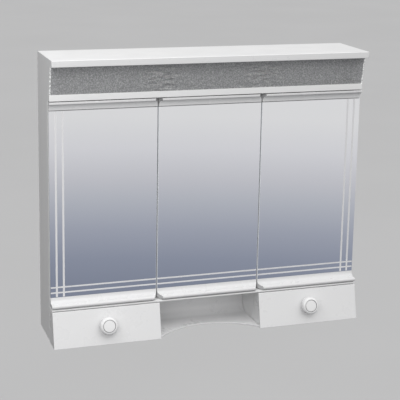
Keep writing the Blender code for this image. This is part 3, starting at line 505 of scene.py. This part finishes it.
def screw_tree():
    """A countersunk screw head with a cross recess at each point, turned at random about its axis."""
    tree, start, end = start_tree("countersunk_screws", [
        ("Head Radius", "Float", 0.003), ("Head Height", "Float", 0.0012), ("Recess Width", "Float", 0.0008),
        ("Seed", "Int", 4), ("Metal", "Material")])
    radius, height, width = (start.outputs[label] for label in ("Head Radius", "Head Height", "Recess Width"))
    head = add_node(tree, "GeometryNodeMeshCone", {
        "Vertices": 24, "Radius Top": radius, "Radius Bottom": maths(tree, "MULTIPLY", radius, 0.55),
        "Depth": height}, fill_type="NGON")
    cut = add_node(tree, "GeometryNodeMeshBoolean", {"Mesh 1": head.outputs["Mesh"]}, operation="DIFFERENCE")
    reach = maths(tree, "MULTIPLY", radius, 1.25)
    lift = add_node(tree, "ShaderNodeCombineXYZ", {2: maths(tree, "MULTIPLY", height, 0.9)}).outputs[0]
    for first, second in ((reach, width), (width, reach)):
        size = add_node(tree, "ShaderNodeCombineXYZ", {0: first, 1: second, 2: height})
        blade = add_node(tree, "GeometryNodeMeshCube", {"Size": size.outputs[0]})
        raised = add_node(tree, "GeometryNodeTransform", {
            "Geometry": blade.outputs["Mesh"], "Translation": lift})
        tree.links.new(raised.outputs[0], cut.inputs["Mesh 2"])
    facing = add_node(tree, "GeometryNodeInputNamedAttribute", {"Name": "facing"}, data_type="FLOAT_VECTOR")
    aim = add_node(tree, "FunctionNodeAlignRotationToVector", {"Vector": facing.outputs[0]}, axis="Z")
    chance = add_node(tree, "FunctionNodeRandomValue", {2: 0.0, 3: math.pi, "Seed": start.outputs["Seed"]},
                      data_type="FLOAT")
    spin = add_node(tree, "FunctionNodeAxisAngleToRotation", {"Axis": (0, 0, 1), "Angle": chance.outputs[1]})
    turned = add_node(tree, "FunctionNodeRotateRotation", {
        "Rotation": aim.outputs[0], "Rotate By": spin.outputs[0]}, rotation_space="LOCAL")
    spread = add_node(tree, "GeometryNodeInstanceOnPoints", {
        "Points": start.outputs["Geometry"], "Instance": cut.outputs["Mesh"], "Rotation": turned.outputs[0]})
    tree.links.new(painted(tree, spread.outputs[0], start.outputs["Metal"]), end.inputs[0])
    return tree


def grow(name, tree, points, vectors, **values):
    """Runs a tree on a few points with named vectors, and gives the result as a plain mesh."""
    seed = bpy.data.meshes.new(name + "_seed")
    seed.from_pydata([tuple(p) for p in points], [], [])
    for label, rows in vectors.items():
        layer = seed.attributes.new(label, "FLOAT_VECTOR", "POINT")
        layer.data.foreach_set("vector", [a for row in rows for a in row])
    holder = bpy.data.objects.new(name + "_seed", seed)
    bpy.context.scene.collection.objects.link(holder)
    growth = holder.modifiers.new("growth", "NODES")
    growth.node_group = tree
    for item in tree.interface.items_tree:
        label = item.name.replace(" ", "_")
        if item.item_type == "SOCKET" and item.in_out == "INPUT" and label in values:
            growth[item.identifier] = values[label]
    graph = bpy.context.evaluated_depsgraph_get()
    mesh = bpy.data.meshes.new_from_object(
        holder.evaluated_get(graph), preserve_all_data_layers=True, depsgraph=graph)
    bpy.data.objects.remove(holder)
    mesh.name = name
    return mesh


SCREWS = screw_tree()


def drive_screws(name, points, facing, radius, height, recess, seed):
    """Screw heads at the points, as one steel piece on the cabinet."""
    mesh = grow(name, SCREWS, points, {"facing": [facing] * len(points)}, Head_Radius=radius,
                Head_Height=height, Recess_Width=recess, Seed=seed, Metal=ZINC_STEEL)
    show(name, mesh, "cabinet")


skin = joined_skin("back_panel")
rear = max(v.co.y for v in skin.verts)
for vert in skin.verts:
    if vert.co.y > rear - 1e-5:
        vert.co.y = rear - PANEL_SINK
paint_by_facing(skin, 1, (0, 1, 0))
settle("back_panel_sheet", skin, [WHITE_LACQUER, primed_hardboard()], "cabinet", ["back_panel"], "carcass",
       even=False)
low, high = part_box("back_panel")
spots = []
count_x = round((high[0] - low[0] - 2 * SCREW_MARGIN) / SCREW_PITCH)
count_z = round((high[2] - low[2] - 2 * SCREW_MARGIN) / SCREW_PITCH)
for i in range(count_x + 1):
    x = low[0] + SCREW_MARGIN + (high[0] - low[0] - 2 * SCREW_MARGIN) * i / count_x
    spots += [(x, z) for z in (low[2] + SCREW_MARGIN, high[2] - SCREW_MARGIN)]
for i in range(1, count_z):
    z = low[2] + SCREW_MARGIN + (high[2] - low[2] - 2 * SCREW_MARGIN) * i / count_z
    spots += [(x, z) for x in (low[0] + SCREW_MARGIN, high[0] - SCREW_MARGIN)]
points = [(x, -SCREW_SEAT, z) for x, z in spots]
drive_screws("back_panel_screws", points, (0, 1, 0), 0.0030, 0.0012, 0.0007, 11)

# ------------------------ open bay
# The tray between the drawers is one moulding: its back curves forward into a shelf with a bowed
# front edge. It is clipped up under the floor between the bay walls.
MOULDED_WHITE = white_finish("moulded_white", (0.815, 0.815, 0.82), (0.806, 0.806, 0.810), 0.30, 0.0045, 0.12,
                             scuffs=0.22, rub=0.5, dust=0.12, cloud=0.35, edge=(0.88, 0.88, 0.885),
                             Coat_Weight=0.15, Coat_Roughness=0.12)
plain_piece("bay_tray", "moulded", MOULDED_WHITE, "moulding", 0.0006, sharp=42.0)

# ------------------------ lamp compartment
# Behind the crown: a bent enamelled reflector, two moulded lamp holders on feet with opal candle
# bulbs, and a terminal block beside the rubber grommet of the supply cable.
INNER_WHITE = white_finish("inner_white_plastic", (0.77, 0.77, 0.765), (0.74, 0.74, 0.73), 0.45, 0.0012,
                           0.5, scuffs=0.2, rub=0.3, dust=0.3, cloud=0.08)
ENAMEL = white_finish("reflector_enamel", (0.84, 0.84, 0.835), (0.80, 0.80, 0.79), 0.22, 0.006, 0.25,
                      scuffs=0.2, rub=0.3, dust=0.3, Coat_Weight=0.3, Coat_Roughness=0.08)


def two_tone(name, first, second, grain, rough, window=None, rough_window=None, relief=None, **plain):
    """Two tones mixed by a noise, and a roughness that runs with it by a gain from a base."""
    material, tree, shader, place = start_material(name, **plain)
    noise = noise_of(tree, place, *grain)
    share = window_of(tree, noise, *window) if window else noise
    dull = window_of(tree, noise, *rough_window) if rough_window else share
    if relief is not None:
        relief = (noise_of(tree, place, *relief[0]) if relief[0] else noise, *relief[1:])
    lay_finish(tree, shader, blend_colour(tree, share, first, second), scaled(tree, dull, *rough), relief)
    return material


def lathe(profile, place, steps=56):
    """A body turned about local Z from (radius, height) points that start and end on the axis."""
    body = bmesh.new()
    body.faces.layers.float.new("rounded")
    rings = []
    for radius, height in profile:
        if radius < 1e-7:
            rings.append([body.verts.new(place @ Vector((0, 0, height)))])
        else:
            rings.append([body.verts.new(place @ Vector((radius * math.cos(a), radius * math.sin(a), height)))
                          for a in (2 * math.pi * k / steps for k in range(steps))])
    for one, two in zip(rings, rings[1:]):
        for k in range(steps):
            j = (k + 1) % steps
            corners = [one[k % len(one)], one[j % len(one)], two[j % len(two)], two[k % len(two)]]
            corners = list(dict.fromkeys(corners))
            if len(corners) > 2:
                body.faces.new(corners)
    bmesh.ops.recalc_face_normals(body, faces=body.faces)
    return body


OPAL = two_tone("opal_glass", (0.82, 0.81, 0.78), (0.88, 0.88, 0.86), (90.0, 4.0, 0.6), (0.1, 0.10),
                IOR=1.5, Subsurface_Weight=0.2, Subsurface_Scale=0.004, Coat_Weight=0.5)
NICKEL = two_tone("nickel_cap", (0.70, 0.68, 0.63), (0.50, 0.45, 0.36), (260.0, 5.0, 0.65), (0.2, 0.2),
                  window=(0.4, 0.7), Metallic=1.0)
BLACK_RUBBER = two_tone("black_rubber", (0.022, 0.022, 0.023), (0.055, 0.055, 0.052), (180.0, 5.0, 0.7),
                        (0.2, 0.6), window=(0.4, 0.75), relief=((1800.0, 2.0), 0.4, 0.0001), IOR=1.5)
BULB_CAP, CAP_RINGS = (0.465, 0.283), 6      # the cap's radius and length, as shares of the bulb's
TERMINALS, TERMINAL_RISE = 3, 0.004
plain_piece("reflector", "enamelled", ENAMEL, "reflector")
for side, sign in (("left", -1), ("right", 1)):
    low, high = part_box(f"{side}_lamp_bulb")
    radius, length = (high[2] - low[2]) / 2, high[0] - low[0]
    base = high[0] if sign < 0 else low[0]
    place = (Matrix.Translation((base, (low[1] + high[1]) / 2, (low[2] + high[2]) / 2))
             @ Matrix.Rotation(sign * math.pi / 2, 4, "Y"))
    cap_r, cap_l = radius * BULB_CAP[0], length * BULB_CAP[1]
    profile = [(0.0, 0.0), (cap_r * 0.35, 0.0), (cap_r * 0.4, 0.0016), (cap_r * 0.9, 0.003)]
    for i in range(CAP_RINGS * 4 + 1):
        wave = 0.93 + 0.07 * math.sin(i * math.pi / 2)
        profile.append((cap_r * wave, 0.004 + (cap_l - 0.006) * i / (CAP_RINGS * 4)))
    for i in range(0, 21):
        t = i / 20
        swell = math.sin(math.pi * min(t, 0.999) ** 0.8) ** 0.8 if t > 0 else 0.0
        neck = cap_r * (1.0 - t)
        profile.append((neck + (radius - neck) * swell, cap_l + (length - cap_l) * t))
    profile[-1] = (0.0, length)
    bulb = lathe(profile, place, 48)
    axis = place.to_3x3() @ Vector((0, 0, 1))
    origin = place.translation
    for face in bulb.faces:
        if (face.calc_center_median() - origin).dot(axis) < cap_l - 0.0005:
            face.material_index = 1
    settle(f"{side}_candle_bulb", bulb, [OPAL, NICKEL], "cabinet", [f"{side}_lamp_bulb"], "bulb", even=False)
    plain_piece(f"{side}_lamp_holder", "moulded", INNER_WHITE, "inner_plastic", 0.0004)
plain_piece("terminal_block", "moulded", INNER_WHITE, "inner_plastic")
low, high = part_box("terminal_block")
points = [(low[0] + (high[0] - low[0]) * (i + 0.5) / TERMINALS, low[1] + 0.0004,
           (low[2] + high[2]) / 2 + rise)
          for i in range(TERMINALS) for rise in (-TERMINAL_RISE, TERMINAL_RISE)]
drive_screws("terminal_screws", points, (0, -1, 0), 0.0022, 0.0010, 0.0006, 5)
plain_piece("cable_gland", "rubber", BLACK_RUBBER, "rubber")

# ------------------------ lamp diffuser
# A sheet of clear acrylic 3 mm thick with a hammered face, leaning out under the lid. It stands
# in front of the whole crown from side to side and shows its cut edge at both ends.


def hammered_tree():
    """A closed sheet with a pebbled front; its ripples are longer in front of the lamps."""
    tree, start, end = start_tree("hammered_sheet", [
        ("Width", "Float", 0.65), ("Height", "Float", 0.06), ("Thickness", "Float", 0.003),
        ("Pebble", "Float", 0.004), ("Relief", "Float", 0.0005), ("Columns", "Int", 440),
        ("Rows", "Int", 42), ("Lamp Place", "Float", 0.1), ("Seed", "Float", 3.0),
        ("Acrylic", "Material"), ("Cut Acrylic", "Material")])
    given = start.outputs
    grid = add_node(tree, "GeometryNodeMeshGrid", {
        "Size X": given["Width"], "Size Y": given["Height"], "Vertices X": given["Columns"],
        "Vertices Y": given["Rows"]})
    place = add_node(tree, "GeometryNodeInputPosition").outputs[0]
    seeded = add_node(tree, "ShaderNodeCombineXYZ", {2: given["Seed"]}).outputs[0]
    spot = add_node(tree, "ShaderNodeVectorMath", {0: place, 1: seeded}, operation="ADD").outputs[0]
    scale = maths(tree, "DIVIDE", 1.0, given["Pebble"])
    cells = add_node(tree, "ShaderNodeTexVoronoi", {"Vector": spot, "Scale": scale, "Smoothness": 0.35},
                     feature="SMOOTH_F1").outputs["Distance"]
    fine = noise_of(tree, spot, maths(tree, "MULTIPLY", scale, 1.3), 3.0, 0.6)
    swirl = noise_of(tree, spot, maths(tree, "MULTIPLY", scale, 0.28), 3.0, 0.55, (0.7, 1.8, 1.0))
    side = maths(tree, "ABSOLUTE", add_node(tree, "ShaderNodeSeparateXYZ", {0: place}).outputs[0])
    away = maths(tree, "ABSOLUTE", maths(tree, "SUBTRACT", side, given["Lamp Place"]))
    near = maths(tree, "SUBTRACT", 1.0, window_of(tree, away, 0.012, 0.055))
    relief = scaled(tree, cells, -0.55, scaled(tree, fine, 0.7, 0.25))
    waves = maths(tree, "MULTIPLY", scaled(tree, swirl, 8.0, -4.0), near)
    height = maths(tree, "SUBTRACT", maths(tree, "ADD", relief, waves), 1.5)
    height = maths(tree, "MINIMUM", maths(tree, "MULTIPLY", height, given["Relief"]), 0.0)
    slab = add_node(tree, "GeometryNodeExtrudeMesh", {
        "Mesh": grid.outputs["Mesh"], "Offset Scale": given["Thickness"], "Individual": False}, mode="FACES")
    rise = add_node(tree, "ShaderNodeCombineXYZ", {2: height})
    shaped = add_node(tree, "GeometryNodeSetPosition", {
        "Geometry": slab.outputs["Mesh"], "Selection": slab.outputs["Top"], "Offset": rise.outputs[0]})
    facing = add_node(tree, "GeometryNodeInputNormal").outputs[0]
    outward = maths(tree, "ABSOLUTE", add_node(tree, "ShaderNodeSeparateXYZ", {0: facing}).outputs[0])
    rim = scaled(tree, given["Width"], 0.5, -0.0020)
    cut = maths(tree, "MAXIMUM", maths(tree, "GREATER_THAN", outward, 0.95),
                maths(tree, "GREATER_THAN", side, rim))
    milky = painted(tree, shaped.outputs[0], given["Acrylic"])
    tree.links.new(painted(tree, milky, given["Cut Acrylic"], cut), end.inputs[0])
    return tree


def sawn_acrylic():
    """The sawn end of the sheet, splintered and frosted, with painted light: its bright chips glow though it
    is no lamp.
    """
    material, tree, shader, place = start_material("sawn_acrylic", IOR=1.49, Emission_Strength=0.22)
    chips = window_of(tree, noise_of(tree, place, 420.0, 4.0, 0.7), 0.40, 0.60)
    lay_finish(tree, shader, blend_colour(tree, chips, (0.42, 0.425, 0.43), (0.97, 0.97, 0.97)),
               scaled(tree, chips, 0.3, 0.2))
    # Painted light: the bright chips also glow, though the sheet is no lamp.
    glow = blend_colour(tree, chips, (0.0, 0.0, 0.0), (1.0, 1.0, 1.0))
    tree.links.new(glow, shader.inputs["Emission Color"])
    return material


def hammered_acrylic():
    """Clear acrylic gone milky grey, with a fine grain over the hammered relief and painted glints of near
    white.
    """
    material, tree, shader, place = start_material("hammered_acrylic", IOR=1.49, Transmission_Weight=0.45)
    cloud = noise_of(tree, place, 6.0, 4.0, 0.6)
    grain = noise_of(tree, place, 420.0, 3.0, 0.6)
    glints = window_of(tree, noise_of(tree, place, 330.0, 2.0), 0.62, 0.72)
    tone = blend_colour(tree, window_of(tree, grain, 0.35, 0.7), (0.42, 0.425, 0.43), (0.80, 0.805, 0.81))
    tone = blend_colour(tree, maths(tree, "MULTIPLY", cloud, 0.4), tone, (0.50, 0.505, 0.51))
    tone = blend_colour(tree, maths(tree, "MULTIPLY", glints, 0.85), tone, (0.98, 0.98, 0.98))
    lay_finish(tree, shader, tone, scaled(tree, grain, 0.10, 0.05), (grain, 0.5, 0.0003))
    return material


low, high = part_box("light_diffuser")
DIFFUSER_T = 0.003
RIPPLE_PLACE = 0.155       # of the width, either side of the middle
rise, run = high[2] - low[2], high[1] - low[1] - DIFFUSER_T
lean = math.atan2(run, rise)
slope = math.hypot(rise, run)
sheet = grow("lamp_diffuser_sheet", hammered_tree(), [(0, 0, 0)], {}, Width=high[0] - low[0], Height=slope,
             Thickness=DIFFUSER_T * math.cos(lean), Pebble=0.0036, Relief=0.00110, Columns=520, Rows=48,
             Lamp_Place=(high[0] - low[0]) * RIPPLE_PLACE, Seed=3.0, Acrylic=hammered_acrylic(),
             Cut_Acrylic=sawn_acrylic())
middle_depth = (low[1] + high[1] - DIFFUSER_T) / 2 + DIFFUSER_T
place = (Matrix.Translation((0, middle_depth, (low[2] + high[2]) / 2))
         @ Matrix.Rotation(math.pi / 2 + lean, 4, "X"))
sheet.transform(place)
sheet.shade_smooth()
sheet.set_sharp_from_angle(angle=math.radians(50))
show("lamp_diffuser_sheet", sheet, "cabinet", ["light_diffuser"])

# ------------------------ shelves
# Six loose shelves of 5 mm clear glass, two in each compartment, pushed into grooves in the
# sides and partitions. Their long edges are polished and look green.
GLASS_EDGE = 0.0006


def shelf_glass(name, tint, amount):
    bright = tuple(min(1.0, a * 1.05) for a in tint)
    return two_tone(name, tint, bright, (26.0, 5.0, 0.65), (0.09,), rough_window=(0.45, 0.8), IOR=1.52,
                    Transmission_Weight=amount)


CLEAR_GLASS = shelf_glass("shelf_glass", (0.86, 0.93, 0.90), 0.95)
GREEN_EDGE = shelf_glass("polished_glass_edge", (0.42, 0.60, 0.54), 0.5)
for label in ("left", "middle", "right"):
    for level_name in ("lower", "upper"):
        node = f"{label}_shelf_{level_name}"
        skin = joined_skin(node)
        round_edges(skin, GLASS_EDGE)
        for face in skin.faces:
            if abs(face.normal.z) < 0.99:
                face.material_index = 1
        settle(f"{node}_glass", skin, [CLEAR_GLASS, GREEN_EDGE], "cabinet", [node], "shelf_glass")

# ------------------------ light switch
# A small rocker switch screwed up under the divider in the right compartment. Its housing and its
# rocker are moulded in white plastic, and the rocker tips on a pin inside the housing.
plain_piece("switch_housing", "moulded", INNER_WHITE, "inner_plastic", 0.0006)
plain_piece("switch_rocker", "moulded", MOULDED_WHITE, "inner_plastic", body="switch_rocker_body")

# ------------------------ hinge pins and catches
# Each door turns on two short zinc plated pins, one in the divider and one in the floor's lip.
# A magnet block under the divider holds a steel plate that is glued on the door's back.

FERRITE = two_tone("magnet_ferrite", (0.05, 0.05, 0.055), (0.16, 0.16, 0.17), (900.0, 4.0, 0.7), (0.25, 0.5),
                   relief=(None, 0.5, 0.0001), IOR=1.6)
for label in ("left", "middle", "right"):
    for end in ("top", "bottom"):
        node = f"{label}_{end}_hinge_pin"
        low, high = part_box(node)
        r, h = (high[0] - low[0]) / 2, high[2] - low[2]
        edge = r * 0.25
        profile = [(0, 0), (r - edge, 0), (r, edge), (r, h - edge), (r - edge, h), (0, h)]
        place = Matrix.Translation(((low[0] + high[0]) / 2, (low[1] + high[1]) / 2, low[2]))
        settle(f"{node}_turned", lathe(profile, place, 28), [ZINC_STEEL], "cabinet", [node], "steel",
               sharp=60.0, even=False)
    plain_piece(f"{label}_catch_magnet", "block", FERRITE, "magnet")
    plain_piece(f"{label}_strike_plate", "steel", ZINC_STEEL, "steel", 0.0002, f"{label}_door")

# ------------------------ doors
# Each door is one white moulding with a ridge and a cove along its head and a flared nose along its foot.
# Where two doors meet, both are cut back at a slant, and those slanted ends are painted grey as painted
# shade, darker at the head than at the foot.
DOOR_WHITE = white_finish("door_moulding_white", (0.745, 0.745, 0.75), (0.737, 0.737, 0.741), 0.26, 0.0045,
                          0.06, scuffs=0.15, rub=0.3, dust=0.12, cloud=0.4, edge=(0.80, 0.80, 0.805),
                          Coat_Weight=0.15, Coat_Roughness=0.10)
END_LIP, END_ZONE = 0.0005, 0.0100
NOSE_R = 0.004
COVE_POWER = 0.66          # 1 is a quarter ellipse; less hugs the corner
MITRE_SLOPE = 0.0080 / 0.0176
# Painted shade: a dark grey for the slanted door ends at the head and for the knob's groove.
PAINTED_SHADE_GREY = white_finish("sawn_moulding_end", (0.36, 0.36, 0.365), (0.28, 0.28, 0.285), 0.62, 0.0011, 0.6,
                        scuffs=0.5, rub=0.2, dust=0.4, cloud=0.02, edge=(0.50, 0.50, 0.505))
# Painted shade: a lighter grey for the slanted door ends at the foot.
PAINTED_FOOT_SHADE = white_finish("sawn_foot_end", (0.58, 0.58, 0.585), (0.50, 0.50, 0.505), 0.55, 0.0011, 0.5,
                         scuffs=0.4, rub=0.2, dust=0.3, cloud=0.02, edge=(0.60, 0.60, 0.605))
for label in ("left", "middle", "right"):
    skin = joined_skin(f"{label}_door_frame")
    low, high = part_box(f"{label}_door_frame")
    glass_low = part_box(f"{label}_mirror")[0]
    # The slanted end faces where two doors meet take the painted shade.
    for face in skin.faces:
        middle = face.calc_center_median()
        if 0.3 < abs(face.normal.x) < 0.97 and middle.y < glass_low[1]:
            face.material_index = 1 if middle.z > 0 else 2
    face_y, nose_y = glass_low[1] - 0.0004, low[1] + NOSE_R
    cove_top, cove_low = glass_low[2] - 0.0003, low[2] + 2 * NOSE_R
    for vert in skin.verts:
        near_left = label != "left" and vert.co.x < low[0] + END_ZONE
        near_right = label != "right" and vert.co.x > high[0] - END_ZONE
        if cove_low - 1e-5 < vert.co.z < cove_top + 1e-5 and nose_y - 1e-5 < vert.co.y < face_y + 1e-5:
            inward = max(0.0, min(1.0, (vert.co.y - nose_y) / (face_y - nose_y)))
            down = max(0.0, min(1.0, (cove_top - vert.co.z) / (cove_top - cove_low)))
            moved = nose_y + (face_y - nose_y) * inward ** COVE_POWER
            shift = MITRE_SLOPE * (vert.co.y - moved)
            vert.co.x += shift if near_left else -shift if near_right else 0.0
            vert.co.y = moved
            vert.co.z = cove_top - (cove_top - cove_low) * down ** COVE_POWER
        vert.co.x += END_LIP * (near_right - near_left)
    round_edges(skin, 0.0003, shortest=12.0, least=40.0)
    settle(f"{label}_door_moulding", skin, [DOOR_WHITE, PAINTED_SHADE_GREY, PAINTED_FOOT_SHADE], f"{label}_door",
           [f"{label}_door_frame"], "moulding", sharp=38.0)

# ------------------------ mirrors
# Silvered 4 mm glass glued on the doors, its edges ground, to a bright bevel where two doors meet, and its
# top edge painted dark grey as painted shade in the slot under the door's head. Lines are blasted into its
# face: two along the foot of every door, and two more down the outer side of the left and right ones.
BEVEL = 0.0008
OVERLAP, OUTER_INSET, HEAD_SLOT = END_LIP + 0.0002, 0.0001, 0.0009
LINE_T = 0.00012
UPRIGHT_LINE, LEVEL_LINE = 0.0038, 0.0030
UPRIGHT_FIRST, UPRIGHT_STEP = 0.0128, 0.0140
LEVEL_FIRST, LEVEL_STEP = 0.0095, 0.0110


def bar_tree():
    """A bar of its own size at each point: ribs, strips and lines."""
    tree, start, end = start_tree("bars_on_points", [("Bar Material", "Material")])
    bar = add_node(tree, "GeometryNodeMeshCube")
    size = add_node(tree, "GeometryNodeInputNamedAttribute", {"Name": "size"}, data_type="FLOAT_VECTOR")
    spread = add_node(tree, "GeometryNodeInstanceOnPoints", {
        "Points": start.outputs["Geometry"], "Instance": bar.outputs["Mesh"], "Scale": size.outputs[0]})
    tree.links.new(painted(tree, spread.outputs[0], start.outputs["Bar Material"]), end.inputs[0])
    return tree


BARS = bar_tree()
SILVER = two_tone("silvered_glass", (0.875, 0.885, 0.89), (0.895, 0.90, 0.905),
                  (1.0, 4.0, 0.6, (9.0, 9.0, 4.0)), (0.035,), rough_window=(0.3, 0.8), Metallic=1.0)
BLASTED = two_tone("blasted_lines", (0.70, 0.70, 0.71), (0.82, 0.82, 0.83), (900.0, 3.0, 0.6), (0.2, 0.45),
                   relief=(None, 0.5, 0.0001), IOR=1.5)
GROUND = two_tone("ground_glass_edge", (0.74, 0.76, 0.79), (0.84, 0.86, 0.88),
                  (1.0, 3.0, 0.6, (700.0, 700.0, 60.0)), (0.2, 0.15), IOR=1.52)
# Painted shade: a dark grey for each mirror's top edge, down in the slot under the head.
SHADED_TOP_EDGE = two_tone("sealed_glass_edge", (0.16, 0.165, 0.17), (0.27, 0.275, 0.28),
                  (1.0, 4.0, 0.6, (500.0, 500.0, 40.0)), (0.2, 0.5), IOR=1.5)
for label in ("left", "middle", "right"):
    node = f"{label}_mirror"
    low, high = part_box(node)
    body_low, body_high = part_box(f"{label}_door_frame")
    meets = (label != "left", label != "right")
    low[0] = body_low[0] - OVERLAP if meets[0] else body_low[0] + OUTER_INSET
    high[0] = body_high[0] + OVERLAP if meets[1] else body_high[0] - OUTER_INSET
    high[2] -= HEAD_SLOT
    skin = block(low, high)
    slant = [e for e in skin.edges if all(abs(v.co.y - low[1]) < 1e-6 for v in e.verts)
             and any(meets[i] and all(abs(v.co.x - x) < 1e-6 for v in e.verts)
                     for i, x in enumerate((low[0], high[0])))]
    cut = bmesh.ops.bevel(skin, geom=slant, offset=BEVEL, offset_type="OFFSET", segments=1, affect="EDGES")
    # The top edge takes the painted shade; the other edges and the bevels are ground.
    for face in skin.faces:
        face.material_index = 0 if face.normal.y < -0.99 else 2 if face.normal.z > 0.9 else 1
    for face in cut["faces"]:
        face.material_index = 1
    settle(f"{node}_silvered", skin, [SILVER, GROUND, SHADED_TOP_EDGE], f"{label}_door", [node], "mirror")
    face_y = low[1]
    points, sizes = [], []
    inset = BEVEL + 0.0001
    for i in range(2):
        z = low[2] + LEVEL_FIRST + LEVEL_STEP * i
        points.append(((low[0] + high[0]) / 2, face_y, z))
        sizes.append((high[0] - low[0] - 2 * inset, 2 * LINE_T, LEVEL_LINE))
    if label != "middle":
        for i in range(2):
            step = UPRIGHT_FIRST + UPRIGHT_STEP * i
            x = low[0] + step if label == "left" else high[0] - step
            points.append((x, face_y, (low[2] + high[2]) / 2))
            sizes.append((UPRIGHT_LINE, 2.6 * LINE_T, high[2] - low[2] - 2 * inset))
    show(f"{label}_blasted_lines", grow(f"{label}_blasted_lines", BARS, points, {"size": sizes},
                                        Bar_Material=BLASTED), f"{label}_door")

# ------------------------ drawers
# Two plain trays moulded in white plastic run on the boards under the doors. Each is closed by a
# leaning hollow front, with a round knob, a disc let into its face, held by a screw from behind.
KNOB_R, KNOB_H, RIM_R, HEEL_R = 0.0175, 0.0168, 0.0045, 0.0014
NECK_R, NECK_H = 0.0090, 0.0043
CAP_R, CAP_EDGE, CROWN = 0.0117, 0.0006, 0.0003
GROOVE_R, GROOVE_DEEP = CAP_R + 0.0011, 0.0024
KNOB_WHITE = white_finish("knob_white", (0.87, 0.87, 0.873), (0.86, 0.86, 0.863), 0.22, 0.0045, 0.06,
                         scuffs=0.15, rub=0.3, dust=0.1, cloud=0.05, edge=(0.90, 0.90, 0.902),
                         Coat_Weight=0.2, Coat_Roughness=0.08)


def rounding(edge, height, size, degrees):
    """Points of a quarter round that touches a radius, for a turned profile."""
    angles = [math.radians(d) for d in degrees]
    return [(edge - size + size * math.cos(a), height + size * math.sin(a)) for a in angles]


for side in ("left", "right"):
    body = f"{side}_drawer"
    skin = joined_skin(f"{side}_drawer_box")
    round_edges(skin, 0.0006)
    settle(f"{side}_drawer_tray", skin, [INNER_WHITE], body, [f"{side}_drawer_box"], "inner_plastic")
    node = f"{side}_drawer_front"
    low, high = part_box(node)
    skin = joined_skin(node)
    top_y = min(v.co.y for v in skin.verts if v.co.z > high[2] - 1e-4)
    round_edges(skin, 0.0007, shortest=8.0)
    settle(f"{side}_drawer_front_moulded", skin, [MOULDED_WHITE], body, [node], "moulding")
    tilt = math.atan2(top_y - low[1], high[2] - low[2])
    out = Vector((0, -math.cos(tilt), math.sin(tilt)))
    cap_low, cap_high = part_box(f"{side}_knob_cap")
    centre = (Vector(cap_low) + Vector(cap_high)) / 2
    foot = Vector((centre.x, low[1], low[2]))
    base = centre - out * (centre - foot).dot(out)
    place = Matrix.Translation(base) @ Matrix.Rotation(math.pi / 2 - tilt, 4, "X")
    profile = [(0.0, 0.0003), (NECK_R + 0.0012, 0.0003), (NECK_R + 0.0004, 0.0009), (NECK_R, 0.0018),
               (NECK_R, NECK_H - 0.0012), (NECK_R + 0.0010, NECK_H), (KNOB_R - HEEL_R, NECK_H)]
    profile += rounding(KNOB_R, NECK_H + HEEL_R, HEEL_R, range(-75, 1, 15))
    profile += rounding(KNOB_R, KNOB_H - RIM_R, RIM_R, range(9, 91, 9))
    profile += [(GROOVE_R + 0.0002, KNOB_H), (GROOVE_R, KNOB_H - 0.0003),
                (GROOVE_R - 0.0002, KNOB_H - GROOVE_DEEP), (0.0, KNOB_H - GROOVE_DEEP)]
    knob = lathe(profile, place, 72)
    # The faces down in the groove under the disc take the dark grey of painted shade.
    for face in knob.faces:
        spot = place.inverted() @ face.calc_center_median()
        if spot.xy.length < GROOVE_R - 0.0001 and -0.0030 < spot.z - KNOB_H < -0.0004:
            face.material_index = 1
    settle(f"{side}_knob_turned", knob, [KNOB_WHITE, PAINTED_SHADE_GREY], body, [f"{side}_knob"],
           "moulding", sharp=55.0, even=False)
    profile = [(0.0, KNOB_H - 0.0023), (CAP_R, KNOB_H - 0.0023), (CAP_R, KNOB_H - CAP_EDGE)]
    profile += rounding(CAP_R, KNOB_H - CAP_EDGE, CAP_EDGE, range(15, 91, 15))
    profile += [(CAP_R * (1 - t), KNOB_H + CROWN * t * (2 - t)) for t in (0.15, 0.35, 0.6, 0.8)]
    profile.append((0.0, KNOB_H + CROWN))
    settle(f"{side}_knob_disc", lathe(profile, place, 72), [KNOB_WHITE], body, [f"{side}_knob_cap"],
           "moulding", sharp=55.0, even=False)
    plain_piece(f"{side}_knob_screw", "steel", ZINC_STEEL, "steel", body=body, even=False)

# ------------------------ wall hangers
# Two zinc plated plates with keyholes, screwed inside the upper corners behind windows in the
# back panel. They hook over two screws in the wall.
HANGER_MARGIN, HANGER_SEAT = 0.004, 0.0003
points = []
for side in ("left", "right"):
    node = f"{side}_hanger"
    low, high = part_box(node)
    plain_piece(node, "plate", ZINC_STEEL, "steel", 0.0002)
    points += [(x, low[1] + HANGER_SEAT, z) for x in (low[0] + HANGER_MARGIN, high[0] - HANGER_MARGIN)
               for z in (low[2] + HANGER_MARGIN, high[2] - HANGER_MARGIN)]
drive_screws("hanger_screws", points, (0, -1, 0), 0.0028, 0.0010, 0.0007, 2)
